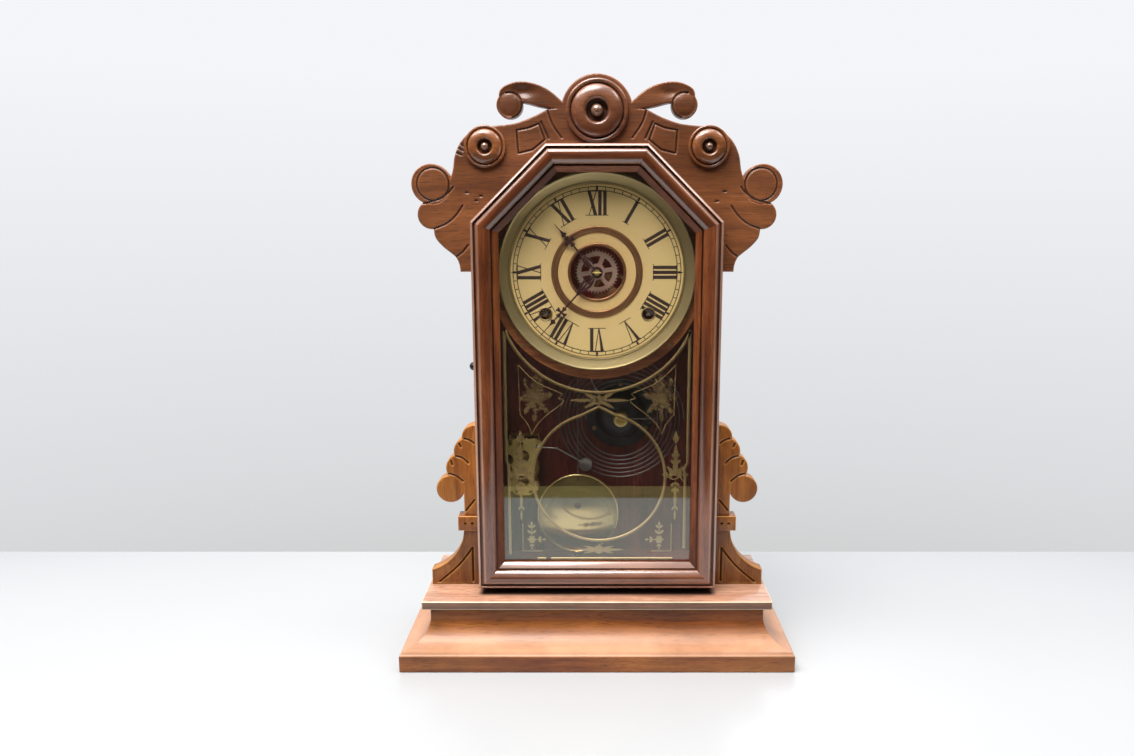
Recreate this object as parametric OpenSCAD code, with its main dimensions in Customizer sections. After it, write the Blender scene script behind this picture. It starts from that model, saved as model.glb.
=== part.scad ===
// Carved walnut shelf clock with an octagon-topped glazed door, an eight-day
// time and strike movement, a coil gong and a small alarm.
// X runs to the right, Y to the back and Z up; the origin is under the middle
// of the base. Every number is in millimetres or degrees.

/* [Base] */
// Width of the base at the floor
base_w = 365; // [330:1:400]
// Depth of the base from plinth to back
base_d = 137; // [130:1:160]
// Height of the upright plinth face of the moulding
plinth_h = 17; // [12:1:22]
// Radius of the hollow cove in the moulding
cove_r = 24; // [18:1:26]
// Height of the moulding under the top board
moulding_h = 53; // [48:1:60]
// Thickness of the moulding boards behind the cove
moulding_t = 12; // [8:1:16]
// Thickness of the base top board
top_board_t = 8; // [6:1:12]
// Overhang of the top board past the moulding
top_board_lip = 7.2; // [4:0.2:12]

/* [Case] */
// Width of the case and its door
case_w = 224; // [210:1:240]
// Height from the top board to the top of the case
case_h = 415.5; // [390:0.5:440]
// Size of the 45 degree corner cuts of case and door
corner_cut = 67; // [55:1:75]
// Thickness of the case boards
case_t = 10; // [8:1:13]
// Thickness of the case floor
floor_t = 8; // [6:1:10]
// Depth of the case from its front edge to the backboard
case_d = 74; // [70:1:84]
// Thickness of the backboard
back_t = 6; // [4:1:8]

/* [Door] */
// Height of the door's lower edge above the top board
door_lift = 6; // [4:0.5:10]
// Width of the door's mitred frame
frame_w = 24; // [22:1:28]
// Thickness of the door frame
door_t = 23; // [21:1:26]
// Gap between the door's back and the case front
door_gap = 1; // [0.6:0.1:1.4]
// Depth from the door's face to the glass
glass_set = 12; // [11:0.5:13]
// Thickness of the glass
glass_t = 2; // [1.6:0.1:3]
// Width of the rabbet that takes the glass
rabbet_w = 6; // [5:0.5:7]
// Width of the strips that hold the glass
bead_w = 4; // [3:0.5:5]
// Distance of the upper hinge's centre below the case top
hinge_drop = 153.5; // [140:0.5:200]
// Height of the lower hinge's centre above the top board
hinge_low = 91; // [50:1:150]
// Length of a hinge
hinge_len = 21.6; // [18:0.6:30]
// Height of the catch above the top board
catch_z = 218; // [180:1:300]
// Radius of the catch button
catch_r = 3.9; // [3:0.1:5]

/* [Crest and brackets] */
// Thickness of the crest and the side brackets
carving_t = 14; // [10:1:16]
// Set-back of the carvings behind the case's front edge
carving_set = 2; // [1:0.5:4]
// Radius of the dome at the top of the crest
dome_r = 32; // [30:0.5:34]
// Height of the dome's centre above the case top
dome_z = 30; // [28:0.5:34]
// Radius of the middle rosette
rosette_r = 27.8; // [24:0.2:29]
// Radius of the small rosettes
small_rosette_r = 18.5; // [14:0.5:20]
// Distance of the small rosettes from the middle
small_rosette_x = 99.8; // [96:0.2:104]
// Width of the incised lines
incise_w = 1; // [0.6:0.1:1.6]
// Depth of the incised lines
incise_d = 1; // [0.5:0.1:2]

/* [Dial and hands] */
// Distance of the dial's centre below the case top
dial_drop = 112.5; // [108:0.5:120]
// Radius of the dial plate
dial_r = 79.5; // [76:0.5:82]
// Outer radius of the brass bezel
bezel_r = 90.6; // [88:0.2:92]
// Height of the bezel above the dial board
bezel_h = 6.3; // [5:0.1:6.6]
// Radius of the opening in the middle of the dial
dial_hole_r = 24.2; // [22:0.2:26]
// Radius of the dial board's rounded lower edge
dial_board_r = 99.4; // [95:0.2:101]
// Thickness of the dial board
dial_board_t = 6; // [4:1:8]
// Radius of the winding holes in the dial
winding_hole_r = 5.4; // [4.5:0.1:6]
// Length of the minute hand
minute_len = 77; // [70:1:80]
// Length of the hour hand
hour_len = 57; // [50:1:62]
// Minutes past the hour that the hands show
minutes = 37; // [0:1:59]
// Hour that the hands show
hours = 10; // [1:1:12]

/* [Movement] */
// Distance of each winding arbor from the middle
winding_x = 47.5; // [46:0.5:49]
// Depth of the winding arbors below the dial centre
winding_drop = 38.4; // [36:0.2:40]
// Thickness of the movement plates
plate_t = 1.5; // [1.2:0.1:2]
// Clear distance between the plates
plate_gap = 33.5; // [33.5:0.5:36]
// Radius of the pivots
pivot_r = 0.8; // [0.7:0.05:1]
// Running clearance of the pivots
fit = 0.06; // [0.04:0.01:0.1]

/* [Pendulum and gong] */
// Sideways place of the pendulum and verge
pendulum_x = -18.7; // [-20:0.1:-18]
// Height of the suspension above the dial centre
suspension_z = 40; // [39:0.5:41]
// Room between the rating nut and the case floor
bob_gap = 12; // [8:0.5:30]
// Radius of the pendulum bob
bob_r = 40; // [34:1:42]
// Distance of the gong's centre below the dial's
gong_drop = 147.5; // [143:0.5:155]
// Sideways place of the gong
gong_x = 23.5; // [15:0.5:30]
// Inner radius of the gong coil
coil_r = 36; // [32:1:38]
// Pitch of the gong coil's turns
coil_pitch = 4.3; // [3.6:0.1:5]
// Half turns in the gong coil
coil_half_turns = 13; // [9:1:15]
// Radius of the gong wire
coil_wire_r = 0.8; // [0.6:0.1:1.2]

/* [Hidden] */

// Mitre of the 45 degree corners, and a small distance for clean cuts
mitre = tan(22.5);
eps = 0.5;
arc_fn = 96;
bore_fn = 48;

// Levels along Y, from the front to the back
y_base_front = -base_d / 2;
y_back = base_d / 2;
y_board = y_back - back_t;
y_case = y_board - case_d;
y_door_back = y_case - door_gap;
y_door = y_door_back - door_t;
y_glass = y_door + glass_set;
y_carving = y_case + carving_set;
y_dial_board = y_case + 6;
y_dial = y_dial_board - 1;
y_dial_board_back = y_dial_board + dial_board_t;
y_rod = y_dial_board_back + 10;
y_front_plate = y_rod + 6.5;
y_train = y_front_plate + plate_t;
y_back_plate = y_train + plate_gap;
y_back_plate_end = y_back_plate + plate_t;
y_coil = y_board - 27;

// Levels along Z
z_top_board = moulding_h + top_board_t;
z_case_top = z_top_board + case_h;
z_door = z_top_board + door_lift;
z_dial = z_case_top - dial_drop;
z_gong = z_dial - gong_drop;
z_catch = z_top_board + catch_z;

// Base moulding, from its outer edge inwards
cove_inset = 1.8 + cove_r;
top_board_w = base_w - 2 * cove_inset + 2 * top_board_lip;
y_top_board = y_base_front + cove_inset - top_board_lip;

// Places on the crest, as [x, z]
dome_c = [0, z_case_top + dome_z];
small_rosette_z = z_case_top - 0.7;
horn_c = [77.6, z_case_top + 35.2];
horn_r = 11.6;
ear_c = [149.2, z_case_top - 33.5];
ear_r = 18;
button_d = 3.4;

// Places of the arbors, as [x, z]
centre = [0, z_dial];
time_arbor = [winding_x, z_dial - winding_drop];
strike_arbor = [-winding_x, z_dial - winding_drop];
verge_at = [pendulum_x, z_dial + suspension_z];
nut_drop = 6;
bob_z = z_top_board + floor_t + bob_gap + nut_drop + bob_r;
pendulum_len = verge_at[1] - bob_z;
escape_at = [pendulum_x, verge_at[1] - 21];

// Wheel teeth and the modules of the meshing pairs
great_teeth = 60;
great_m = 0.96;
second_leaves = 10;
second_teeth = 70;
second_m = 0.72;
centre_leaves = 10;
centre_teeth = 72;
centre_m = 0.5;
third_leaves = 8;
third_teeth = 80;
third_m = 0.42;
escape_leaves = 8;
escape_teeth = 38;
escape_r = 15.2;
cannon_teeth = 12;
minute_teeth = 36;
minute_m = 1.0156;
minute_leaves = 10;
hour_teeth = 40;
hour_m = 0.975;
pin_leaves = 10;
pin_teeth = 70;
pin_m = 0.5;
fly_leaves = 8;

// Places of the driven arbors, from the centre distances of their pairs
second_at = meet(time_arbor, pair(great_m, great_teeth, second_leaves),
                 centre, pair(second_m, second_teeth, centre_leaves));
third_at = meet(escape_at, pair(third_m, third_teeth, escape_leaves),
                centre, pair(centre_m, centre_teeth, third_leaves));
minute_at = centre + pair(minute_m, cannon_teeth, minute_teeth) * [cos(-52), sin(-52)];
pin_at = strike_arbor + pair(great_m, great_teeth, pin_leaves) * [cos(75), sin(75)];
fly_at = pin_at + pair(pin_m, pin_teeth, fly_leaves) * [cos(100), sin(100)];

// Turns that put each driven wheel in mesh with its driver
second_turn = mesh(time_arbor, 0, great_teeth, second_at, second_leaves);
centre_turn = mesh(second_at, second_turn, second_teeth, centre, centre_leaves);
third_turn = mesh(centre, centre_turn, centre_teeth, third_at, third_leaves);
escape_turn = mesh(third_at, third_turn, third_teeth, escape_at, escape_leaves);
minute_turn = mesh(centre, 0, cannon_teeth, minute_at, minute_teeth);
hour_turn = mesh(minute_at, minute_turn, minute_leaves, centre, hour_teeth);
pin_turn = mesh(strike_arbor, 0, great_teeth, pin_at, pin_leaves);
fly_turn = mesh(pin_at, pin_turn, pin_teeth, fly_at, fly_leaves);

// Clock hand angles, turned from twelve against X
minute_angle = -6 * minutes;
hour_angle = -30 * (hours + minutes / 60);

// Centre distance of a pair of wheels
function pair(m, n1, n2) = m * (n1 + n2) / 2;

// Point at distance r1 from p and r2 from q, on the left of the way from p to q
function meet(p, r1, q, r2) =
  let (d = q - p, l = norm(d), a = (r1 * r1 - r2 * r2 + l * l) / (2 * l),
       h = sqrt(r1 * r1 - a * a), u = d / l)
  p + a * u + h * [-u[1], u[0]];

// Direction from p to q in degrees
function heading(p, q) = atan2(q[1] - p[1], q[0] - p[0]);

// Turn of a driven wheel at q that sets its gap on the driver's tooth
function mesh(p, turn, n1, q, n2) =
  heading(p, q) + 180 - 180 / n2 + (heading(p, q) - turn) * n1 / n2;

// Point on a circle
function on_circle(c, r, a) = c + r * [cos(a), sin(a)];

// Outline of the case or door, drawn in by d, from the lower left corner round
function outline(zb, zt, d) = [
  [-case_w / 2 + d, zb + d],
  [case_w / 2 - d, zb + d],
  [case_w / 2 - d, zt - corner_cut - mitre * d],
  [case_w / 2 - corner_cut - mitre * d, zt - d],
  [-case_w / 2 + corner_cut + mitre * d, zt - d],
  [-case_w / 2 + d, zt - corner_cut - mitre * d]
];

// Smooth curve through the points of a list
function smooth(p, steps) = [
  for (i = [0 : len(p) - 2], s = [0 : steps - 1])
    let (a = p[max(i - 1, 0)], b = p[i], c = p[i + 1],
         d = p[min(i + 2, len(p) - 1)], t = s / steps)
    0.5 * (2 * b + (c - a) * t + (2 * a - 5 * b + 4 * c - d) * t * t
           + (3 * b - a - 3 * c + d) * t * t * t),
  p[len(p) - 1]
];

// A flat shape in X and Z, made solid from y0 back to y1
module slab(y0, y1) {
  translate([0, y1, 0]) rotate([90, 0, 0]) linear_extrude(height = y1 - y0) children();
}

// A round bar along Y
module bar(p, r, y0, y1, fn = bore_fn) {
  translate([p[0], y1, p[1]]) rotate([90, 0, 0]) cylinder(r = r, h = y1 - y0, $fn = fn);
}

// A turned piece whose profile runs forward from y
module turned(p, y, fn = arc_fn) {
  translate([p[0], y, p[1]]) rotate([90, 0, 0]) rotate_extrude($fn = fn) children();
}

// A straight wire between two points with round ends
module wire(a, b, r) {
  d = b - a;
  translate(a)
    rotate([0, acos(d[2] / norm(d)), atan2(d[1], d[0])])
      cylinder(r = r, h = norm(d), $fn = 24);
}

// Both sides of a mirrored pair
module both_sides() {
  children();
  mirror([1, 0, 0]) children();
}

// Teeth of a wheel, with tooth 0 at the given turn
module teeth(n, m, turn, duty = 0.4, top = 0.85, foot = 1.05) {
  r = n * m / 2;
  step = 360 / n;
  half = duty * step / 2;
  polygon([for (k = [0 : n - 1], e = [[-foot, -1.2], [0, -1], [top, -0.45],
                                      [top, 0.45], [0, 1], [-foot, 1.2]])
    on_circle([0, 0], r + e[0] * m, turn + k * step + e[1] * half)]);
}

// Flat wheel with a rim, spokes and a hub
module wheel(p, n, m, turn, rim, hub, spokes, hole, duty = 0.4) {
  r = n * m / 2 - 1.05 * m - rim;
  translate(p) difference() {
    teeth(n, m, turn, duty);
    difference() {
      circle(r = r, $fn = arc_fn);
      circle(r = hub, $fn = bore_fn);
      for (k = [0 : spokes - 1])
        rotate(turn + k * 360 / spokes) translate([0, -rim * 0.6]) square([r + 1, rim * 1.2]);
    }
    circle(r = hole, $fn = bore_fn);
  }
}

// Lantern pinion: round trundles between two collets, with a bore or solid
module lantern(p, n, m, turn, y0, y1, bore = 0) {
  collet = 0.8;
  r = n * m / 2;
  for (y = [y0, y1 - collet])
    difference() {
      bar(p, r + 0.75 * m + 0.15, y, y + collet);
      if (bore > 0) bar(p, bore, y - eps, y + collet + eps);
    }
  for (k = [0 : n - 1])
    bar(on_circle(p, r, turn + k * 360 / n), 0.5 * m, y0 + collet / 2, y1 - collet / 2, 16);
}

// Arbor with a pivot at each end, in the bores of both plates
module arbor(p, r) {
  shoulder = 0.4;
  bar(p, pivot_r, y_front_plate - 0.6, y_back_plate_end + 0.6);
  bar(p, r, y_train + shoulder, y_back_plate - shoulder);
}

// Side of a list of points at half a width from it, along the mean normals
function stroke_side(p, w) = [
  for (i = [0 : len(p) - 1])
    let (a = p[max(i - 1, 0)], b = p[min(i + 1, len(p) - 1)], d = (b - a) / norm(b - a))
    p[i] + w * [-d[1], d[0]]
];

// Incised line along a list of points
module incised(points, y, w = incise_w) {
  right = stroke_side(points, -w / 2);
  slab(y - eps, y + incise_d)
    polygon(concat(stroke_side(points, w / 2),
                   [for (i = [len(points) - 1 : -1 : 0]) right[i]]));
}

// Incised outline of a panel whose points run round a middle point
module incised_panel(points, middle, y, w = incise_w) {
  slab(y - eps, y + incise_d) difference() {
    polygon(points);
    polygon([for (p = points) p + 1.5 * w * (middle - p) / norm(middle - p)]);
  }
}

// Incised circle or part of one
module incised_ring(c, r, y, w = incise_w) {
  translate([c[0], y, c[1]]) rotate([90, 0, 0])
    translate([0, 0, -incise_d])
      rotate_extrude($fn = arc_fn) translate([r - w / 2, 0]) square([w, incise_d + eps]);
}

// ---------------------------------------------------------------- base

// Section of the base moulding, outwards and up
module moulding_section() {
  lip = 1.2;
  polygon(concat(
    [[cove_inset + moulding_t, 0], [0, 0], [0, plinth_h - lip], [lip, plinth_h],
     [cove_inset - cove_r, plinth_h + 1.8]],
    [for (a = [10 : 10 : 90])
      [cove_inset - cove_r + cove_r * sin(a),
       plinth_h + 1.8 + cove_r - cove_r * cos(a)]],
    [[cove_inset, moulding_h], [cove_inset + moulding_t, moulding_h]]));
}

module base_mouldings() {
  color("peru") {
    difference() {
      translate([-base_w / 2, y_base_front, 0])
        rotate([90, 0, 90]) linear_extrude(height = base_w) moulding_section();
      for (s = [-1, 1])
        translate([s * base_w / 2, y_base_front, -eps]) rotate([0, 0, s * 45])
          translate([s > 0 ? 0 : -base_w, -base_w / 2, 0]) cube([base_w, base_w, moulding_h + 2 * eps]);
    }
    both_sides() difference() {
      translate([-base_w / 2, y_back, 0])
        rotate([90, 0, 0]) linear_extrude(height = base_d) moulding_section();
      translate([-base_w / 2, y_base_front, -eps]) rotate([0, 0, 45])
        translate([0, -base_w, 0]) cube([base_w, base_w, moulding_h + 2 * eps]);
    }
  }
}

module base_back_rail() {
  rail_x = base_w / 2 - cove_inset - moulding_t;
  color("sienna") translate([-rail_x, y_back - moulding_t, 0])
    cube([2 * rail_x, moulding_t, moulding_h]);
}

module base_top_board() {
  round_r = 2;
  color("peru") translate([-top_board_w / 2, y_top_board, moulding_h])
    difference() {
      cube([top_board_w, y_back - y_top_board, top_board_t]);
      for (z = [0, top_board_t])
        translate([-eps, 0, z]) rotate([45, 0, 0])
          translate([0, -round_r / 2, -round_r / 2])
            cube([top_board_w + 2 * eps, round_r, round_r]);
    }
}

// ---------------------------------------------------------------- case

case_out = outline(z_top_board, z_case_top, 0);
case_in = outline(z_top_board, z_case_top, case_t);

module case_side(s) {
  slab(y_case, y_board) polygon([
    for (p = [case_out[0], [case_in[0][0], z_top_board], case_in[5], case_out[5]])
      [s * p[0], p[1]]]);
}

module case_left_side() { color("saddlebrown") case_side(1); }

module case_right_side() {
  color("saddlebrown") difference() {
    case_side(-1);
    for (z = hinge_z) {
      hinge_barrel_seat(z);
      translate([case_w / 2 - leaf_t, y_case - eps, z - hinge_len / 2])
        cube([leaf_t + eps, leaf_back - y_case + eps, hinge_len]);
    }
  }
}

module case_floor() {
  floor_x = case_w / 2 - case_t;
  color("saddlebrown") translate([-floor_x, y_case, z_top_board])
    cube([2 * floor_x, case_d, floor_t]);
}

module case_roof_boards() {
  color("saddlebrown") {
    slab(y_case, y_board) polygon([case_out[4], case_out[3], case_in[3], case_in[4]]);
    both_sides() slab(y_case, y_board)
      polygon([case_out[5], case_out[4], case_in[4], case_in[5]]);
  }
}

module backboard() {
  color([0.3, 0.1, 0.1]) slab(y_board, y_back) polygon(case_out);
}

module dial_board() {
  clearance = 0.3;
  hole_margin = 2.5;
  color("sienna") slab(y_dial_board, y_dial_board_back) difference() {
    intersection() {
      polygon(outline(z_top_board, z_case_top, case_t + clearance));
      union() {
        translate([-case_w / 2, z_dial]) square([case_w, case_h]);
        translate(centre) circle(r = dial_board_r, $fn = 180);
      }
    }
    translate(centre) circle(r = dial_hole_r + hole_margin, $fn = arc_fn);
    for (p = [time_arbor, strike_arbor])
      translate(p) circle(r = winding_hole_r + hole_margin, $fn = bore_fn);
  }
}

// ---------------------------------------------------------------- crest

// Left half outlines of the crest, measured from the case top
shoulder_curve = smooth([
  [-136, -40], [-129.8, -22.5], [-127.5, -9], [-122.7, 2], [-115.5, 10],
  [-106, 14.8], [-94.4, 17], [-74, 19.2], [-57.2, 25], [-44, 31.5]], 5);
tail_curve = smooth([
  [-148.4, -72.4], [-146.8, -81.3], [-140, -89.4], [-133, -95], [-128.4, -99.3],
  [-125.8, -105.4], [-125, -112]], 4);
horn_curve = smooth([
  [-86.5, 33], [-86.2, 47], [-77.5, 53.3], [-65.8, 55.2], [-51.6, 52.4],
  [-40, 46.2], [-29, 36.5]], 5);

module crest_half() {
  y1 = y_carving + carving_t;
  slab(y_carving, y1) translate([0, z_case_top])
    polygon(concat([[0, 0], [-case_w / 2 - 1, -112]],
                   [for (i = [len(tail_curve) - 1 : -1 : 0]) tail_curve[i]],
                   [[-154, -49.5]], shoulder_curve, [[-30, 33], [0, 33]]));
  slab(y_carving, y1) translate([0, z_case_top])
    polygon(concat(horn_curve, [[-28, 30], [-42.7, 32.4], [-52, 34], [-61, 36.4],
                                [-67.5, 37.8], [-77.6, 35.2]]));
  bar([-149.5, z_case_top - 60.5], 13, y_carving, y1, arc_fn);
  bar([-ear_c[0], ear_c[1]], ear_r, y_carving, y1, arc_fn);
  bar([-horn_c[0], horn_c[1]], horn_r, y_carving, y1, arc_fn);
}

// Incised lines of the left half of the crest, measured from the case top
module crest_incisions() {
  translate([0, 0, z_case_top]) {
    incised(smooth([[-156.5, -50.6], [-145, -47.5], [-134.5, -41.5], [-129.5, -35.8]], 3), y_carving);
    incised(smooth([[-148, -73], [-136.5, -68.5], [-127.5, -61], [-121.5, -52.5]], 3), y_carving);
    incised(smooth([[-128.8, -98.4], [-122.5, -94], [-117, -87.5]], 3), y_carving);
    incised(smooth([[-44, 31], [-39.5, 18.5], [-31.5, 7]], 3), y_carving);
    incised([[-49.5, 20.5], [-43.2, 6.5]], y_carving);
    incised_panel([[-71.5, 13.5], [-70.2, -6.5], [-57.5, -3.5], [-46.5, 5.2],
                   [-51.5, 19], [-60.5, 15.4]], [-60, 6], y_carving);
  }
  incised_ring([-ear_c[0] + 1.6, ear_c[1]], ear_r - 3.6, y_carving);
  incised_ring([-horn_c[0], horn_c[1]], horn_r - 3.6, y_carving);
}

module crest_board() {
  color("sienna") difference() {
    union() {
      both_sides() crest_half();
      bar(dome_c, dome_r, y_carving, y_carving + carving_t, arc_fn);
    }
    slab(y_carving - eps, y_carving + carving_t + eps) polygon(case_out);
    both_sides() crest_incisions();
    bar(dome_c, button_d / 2, y_carving - eps, y_carving + 9);
    both_sides()
      bar([-small_rosette_x, small_rosette_z], button_d / 2, y_carving - eps, y_carving + 9);
  }
}

// Turned rosette: a flange, a groove, a torus and a sunk middle with a bore
module rosette(p, r, h) {
  turned(p, y_carving) polygon(concat(
    [[button_d / 2, 0], [r, 0], [r, h * 0.38], [r - 0.06 * r, h * 0.5],
     [r * 0.84, h * 0.5], [r * 0.82, h * 0.36]],
    [for (a = [0 : 15 : 180]) [r * 0.59 + r * 0.21 * cos(a), h * 0.5 + h * 0.5 * sin(a)]],
    [[r * 0.36, h * 0.3], [button_d / 2, h * 0.3]]));
}

module centre_rosette() {
  color("saddlebrown") rosette(dome_c, rosette_r, rosette_h);
}

rosette_h = 9;
small_rosette_h = 7;

module side_rosettes() {
  color("sienna") both_sides()
    rosette([-small_rosette_x, small_rosette_z], small_rosette_r, small_rosette_h);
}

// Ball button with a stem that plugs into the crest through a rosette
module rosette_button(p, r, h) {
  stem_r = button_d / 2 - 0.1;
  color("saddlebrown") turned(p, y_carving + 8, bore_fn) polygon(concat(
    [[0, 0], [stem_r, 0], [stem_r, 8 + h * 0.3], [r * 0.75, 8 + h * 0.3], [r * 0.62, 8 + h * 0.5]],
    [for (a = [-40 : 13 : 90]) [r * cos(a), 8 + h * 0.5 + r * 0.64 + r * sin(a)]]));
}

module rosette_buttons() {
  rosette_button(dome_c, 5.6, rosette_h);
  both_sides() rosette_button([-small_rosette_x, small_rosette_z], 3.5, small_rosette_h);
}

// ---------------------------------------------------------------- brackets

// Side bracket of the left side, with x = 0 at the case side and z = 0 on the
// top board
bracket_lobes = [[-3.8, 147.5, 12.5], [-11, 134, 13.2], [-18, 117.5, 14], [-28.3, 96.7, 13.4]];
foot_x = -48.7;
neck_x = -15.6;
bracket_top = 164;
belt_z = 55.8;
belt_h = 14.4;
belt_w = 21.6;
belt_out = 2.4;
foot_curve = smooth([
  [neck_x - 1, belt_z], [-18.2, 45.5], [-22.8, 35.3], [-29, 27], [-38.4, 19.6],
  [foot_x, 15]], 5);
belt_holes = [-14.6, -7.9];

module bracket_shape() {
  belt_top = belt_z + belt_h;
  intersection() {
    union() {
      for (l = bracket_lobes) translate([l[0], l[1]]) circle(r = l[2], $fn = arc_fn);
      polygon([[0, 158], [-6, 160], [-11, 140], [-19, 125], [-24, 108],
               [neck_x, 100], [neck_x, belt_top], [0, belt_top]]);
      polygon(concat([[0, 0], [0, belt_top], [neck_x, belt_top]], foot_curve, [[foot_x, 0]]));
    }
    translate([-bracket_top, 0]) square(bracket_top);
  }
}

module bracket() {
  translate([-case_w / 2, 0, z_top_board]) difference() {
    union() {
      slab(y_carving, y_carving + carving_t) bracket_shape();
      translate([-belt_w, y_carving - belt_out, belt_z]) cube([belt_w, carving_t + belt_out, belt_h]);
    }
    incised(smooth([[-13.4, 146.4], [-9, 145], [-4.8, 142]], 3), y_carving);
    incised(smooth([[-22, 129.3], [-16, 127.5], [-10.5, 122.5]], 3), y_carving);
    incised(smooth([[-28.8, 112], [-22.5, 109.8], [-16, 104.5]], 3), y_carving);
    incised([[-5.3, 85.8], [-14, 75]], y_carving);
    incised(smooth([[-8.5, 37.5], [-22, 20], [-41.5, 2.5]], 4), y_carving);
    incised([[-8.5, 37.5], [-8.5, 3.4]], y_carving);
    for (x = belt_holes)
      bar([x, belt_z + belt_h / 2], 0.9, y_carving - belt_out - eps, y_carving);
  }
}

module left_bracket() { color("peru") bracket(); }

module right_bracket() { color("peru") mirror([1, 0, 0]) bracket(); }

// ---------------------------------------------------------------- door

door_out = outline(z_door, z_case_top + 0.5, 0);

// Section of the door frame: across from the outer edge, and back from the face
module frame_section() {
  rabbet = frame_w - rabbet_w;
  polygon(concat(
    [[0, door_t], [0, 2.6], [0.8, 1.8], [2.3, 1.6], [2.6, 3.4], [3.8, 3.4]],
    [for (a = [0 : 15 : 120]) [6 - 1.9 * cos(a), 1.9 - 1.9 * sin(a)]],
    [for (a = [0 : 12 : 84]) [8.4 + 8.8 * sin(a) * 0.98, 6.2 - 5.4 * cos(a)]],
    [[frame_w - 6.4, 6.2], [frame_w - 6.1, 7.2], [frame_w - 5.3, 7.2], [frame_w - 5, 6],
     [frame_w - 0.9, 6.4], [frame_w, 7.2], [frame_w, glass_set], [rabbet, glass_set],
     [rabbet, door_t]]));
}

// One member of the door frame on the edge from a to b of the outline, mitred
// by cutting it back to the corner lines of the frame
module frame_member(i) {
  a = door_out[i];
  b = door_out[(i + 1) % 6];
  d = b - a;
  l = norm(d);
  reach = 60;
  inner = outline(z_door, z_case_top + 0.5, reach);
  intersection() {
    translate([a[0], y_door, a[1]]) rotate([0, -heading(a, b), 0])
      translate([-reach, 0, 0]) rotate([90, 0, 90])
        linear_extrude(height = l + 2 * reach) mirror_section();
    slab(y_door - eps, y_door_back + eps) polygon([a, b, inner[(i + 1) % 6], inner[i]]);
  }
}

// The section with its depth along Y and its width upwards
module mirror_section() {
  mirror([1, -1]) frame_section();
}

module door_bottom_rail() { color("sienna") frame_member(0); }

module door_right_stile() {
  color("sienna") difference() {
    frame_member(1);
    for (z = hinge_z) hinge_seat(z);
  }
}

module door_left_stile() {
  color("sienna") difference() {
    frame_member(5);
    translate([-case_w / 2 - eps, y_catch, z_catch]) rotate([0, 90, 0])
      cylinder(r = catch_pin_r + 0.08, h = 12 + eps, $fn = bore_fn);
  }
}

module door_top_rail() { color("sienna") frame_member(3); }

module door_slopes() {
  color("sienna") {
    frame_member(2);
    frame_member(4);
  }
}

module door_glass() {
  clearance = 0.4;
  color([0.8, 0.9, 0.9, 0.4]) slab(y_glass, y_glass + glass_t)
    polygon(outline(z_door, z_case_top + 0.5, frame_w - rabbet_w + clearance));
}

module glass_beads() {
  y0 = y_glass + glass_t;
  outer = outline(z_door, z_case_top + 0.5, frame_w - rabbet_w);
  inner = outline(z_door, z_case_top + 0.5, frame_w - rabbet_w + bead_w);
  color("saddlebrown") for (i = [0 : 5])
    slab(y0, y0 + 5)
      polygon([outer[i], outer[(i + 1) % 6], inner[(i + 1) % 6], inner[i]]);
}

// Hinges: the pin stands in the gap between door and case, at the right edge
hinge_z = [z_top_board + hinge_low, z_case_top - hinge_drop];
hinge_at = [case_w / 2 + 0.4, y_case - door_gap / 2];
knuckle_r = 2;
hinge_pin_r = 0.9;
leaf_t = 0.8;
leaf_w = 11;
knuckle = hinge_len / 3;
leaf_back = y_case + leaf_w;
hinge_screw_y = y_case + leaf_w * 0.62;
hinge_screw_r = 0.9;
hinge_screw_head = 1.9 * hinge_screw_r;

// Room for the knuckles and the ends of the pin
module hinge_barrel_seat(z) {
  translate([hinge_at[0], hinge_at[1], z - hinge_len / 2 - 1.2])
    cylinder(r = knuckle_r + 0.3, h = hinge_len + 2.4, $fn = bore_fn);
}

// Room for a hinge let into the edge of the door
module hinge_seat(z) {
  translate([case_w / 2 - leaf_t, y_door_back - leaf_w, z - hinge_len / 2])
    cube([leaf_t + eps, leaf_w + eps, hinge_len]);
  hinge_barrel_seat(z);
}

// Leaf on the case, with the two outer knuckles and the pin riveted in them
module hinge_case_leaf(z) {
  z0 = z - hinge_len / 2;
  for (k = [0, 2]) {
    translate([case_w / 2 - leaf_t, hinge_at[1], z0 + k * knuckle])
      cube([leaf_t, leaf_back - hinge_at[1], knuckle]);
    translate([hinge_at[0], hinge_at[1], z0 + k * knuckle])
      cylinder(r = knuckle_r, h = knuckle, $fn = bore_fn);
  }
  translate([case_w / 2 - leaf_t, hinge_at[1] + knuckle_r + 0.25, z0])
    cube([leaf_t, leaf_back - hinge_at[1] - knuckle_r - 0.25, hinge_len]);
  translate([hinge_at[0], hinge_at[1], z0 - 0.8])
    cylinder(r = hinge_pin_r, h = hinge_len + 1.6, $fn = bore_fn);
}

module hinge_case_leaves() {
  color("darkgoldenrod") for (z = hinge_z) difference() {
    hinge_case_leaf(z);
    for (s = [-1, 1])
      translate([case_w / 2 - leaf_t - eps, hinge_screw_y, z + s * hinge_len / 4])
        rotate([0, 90, 0])
          cylinder(r = hinge_screw_head + 0.1, h = leaf_t + 2 * eps, $fn = bore_fn);
  }
}

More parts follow.
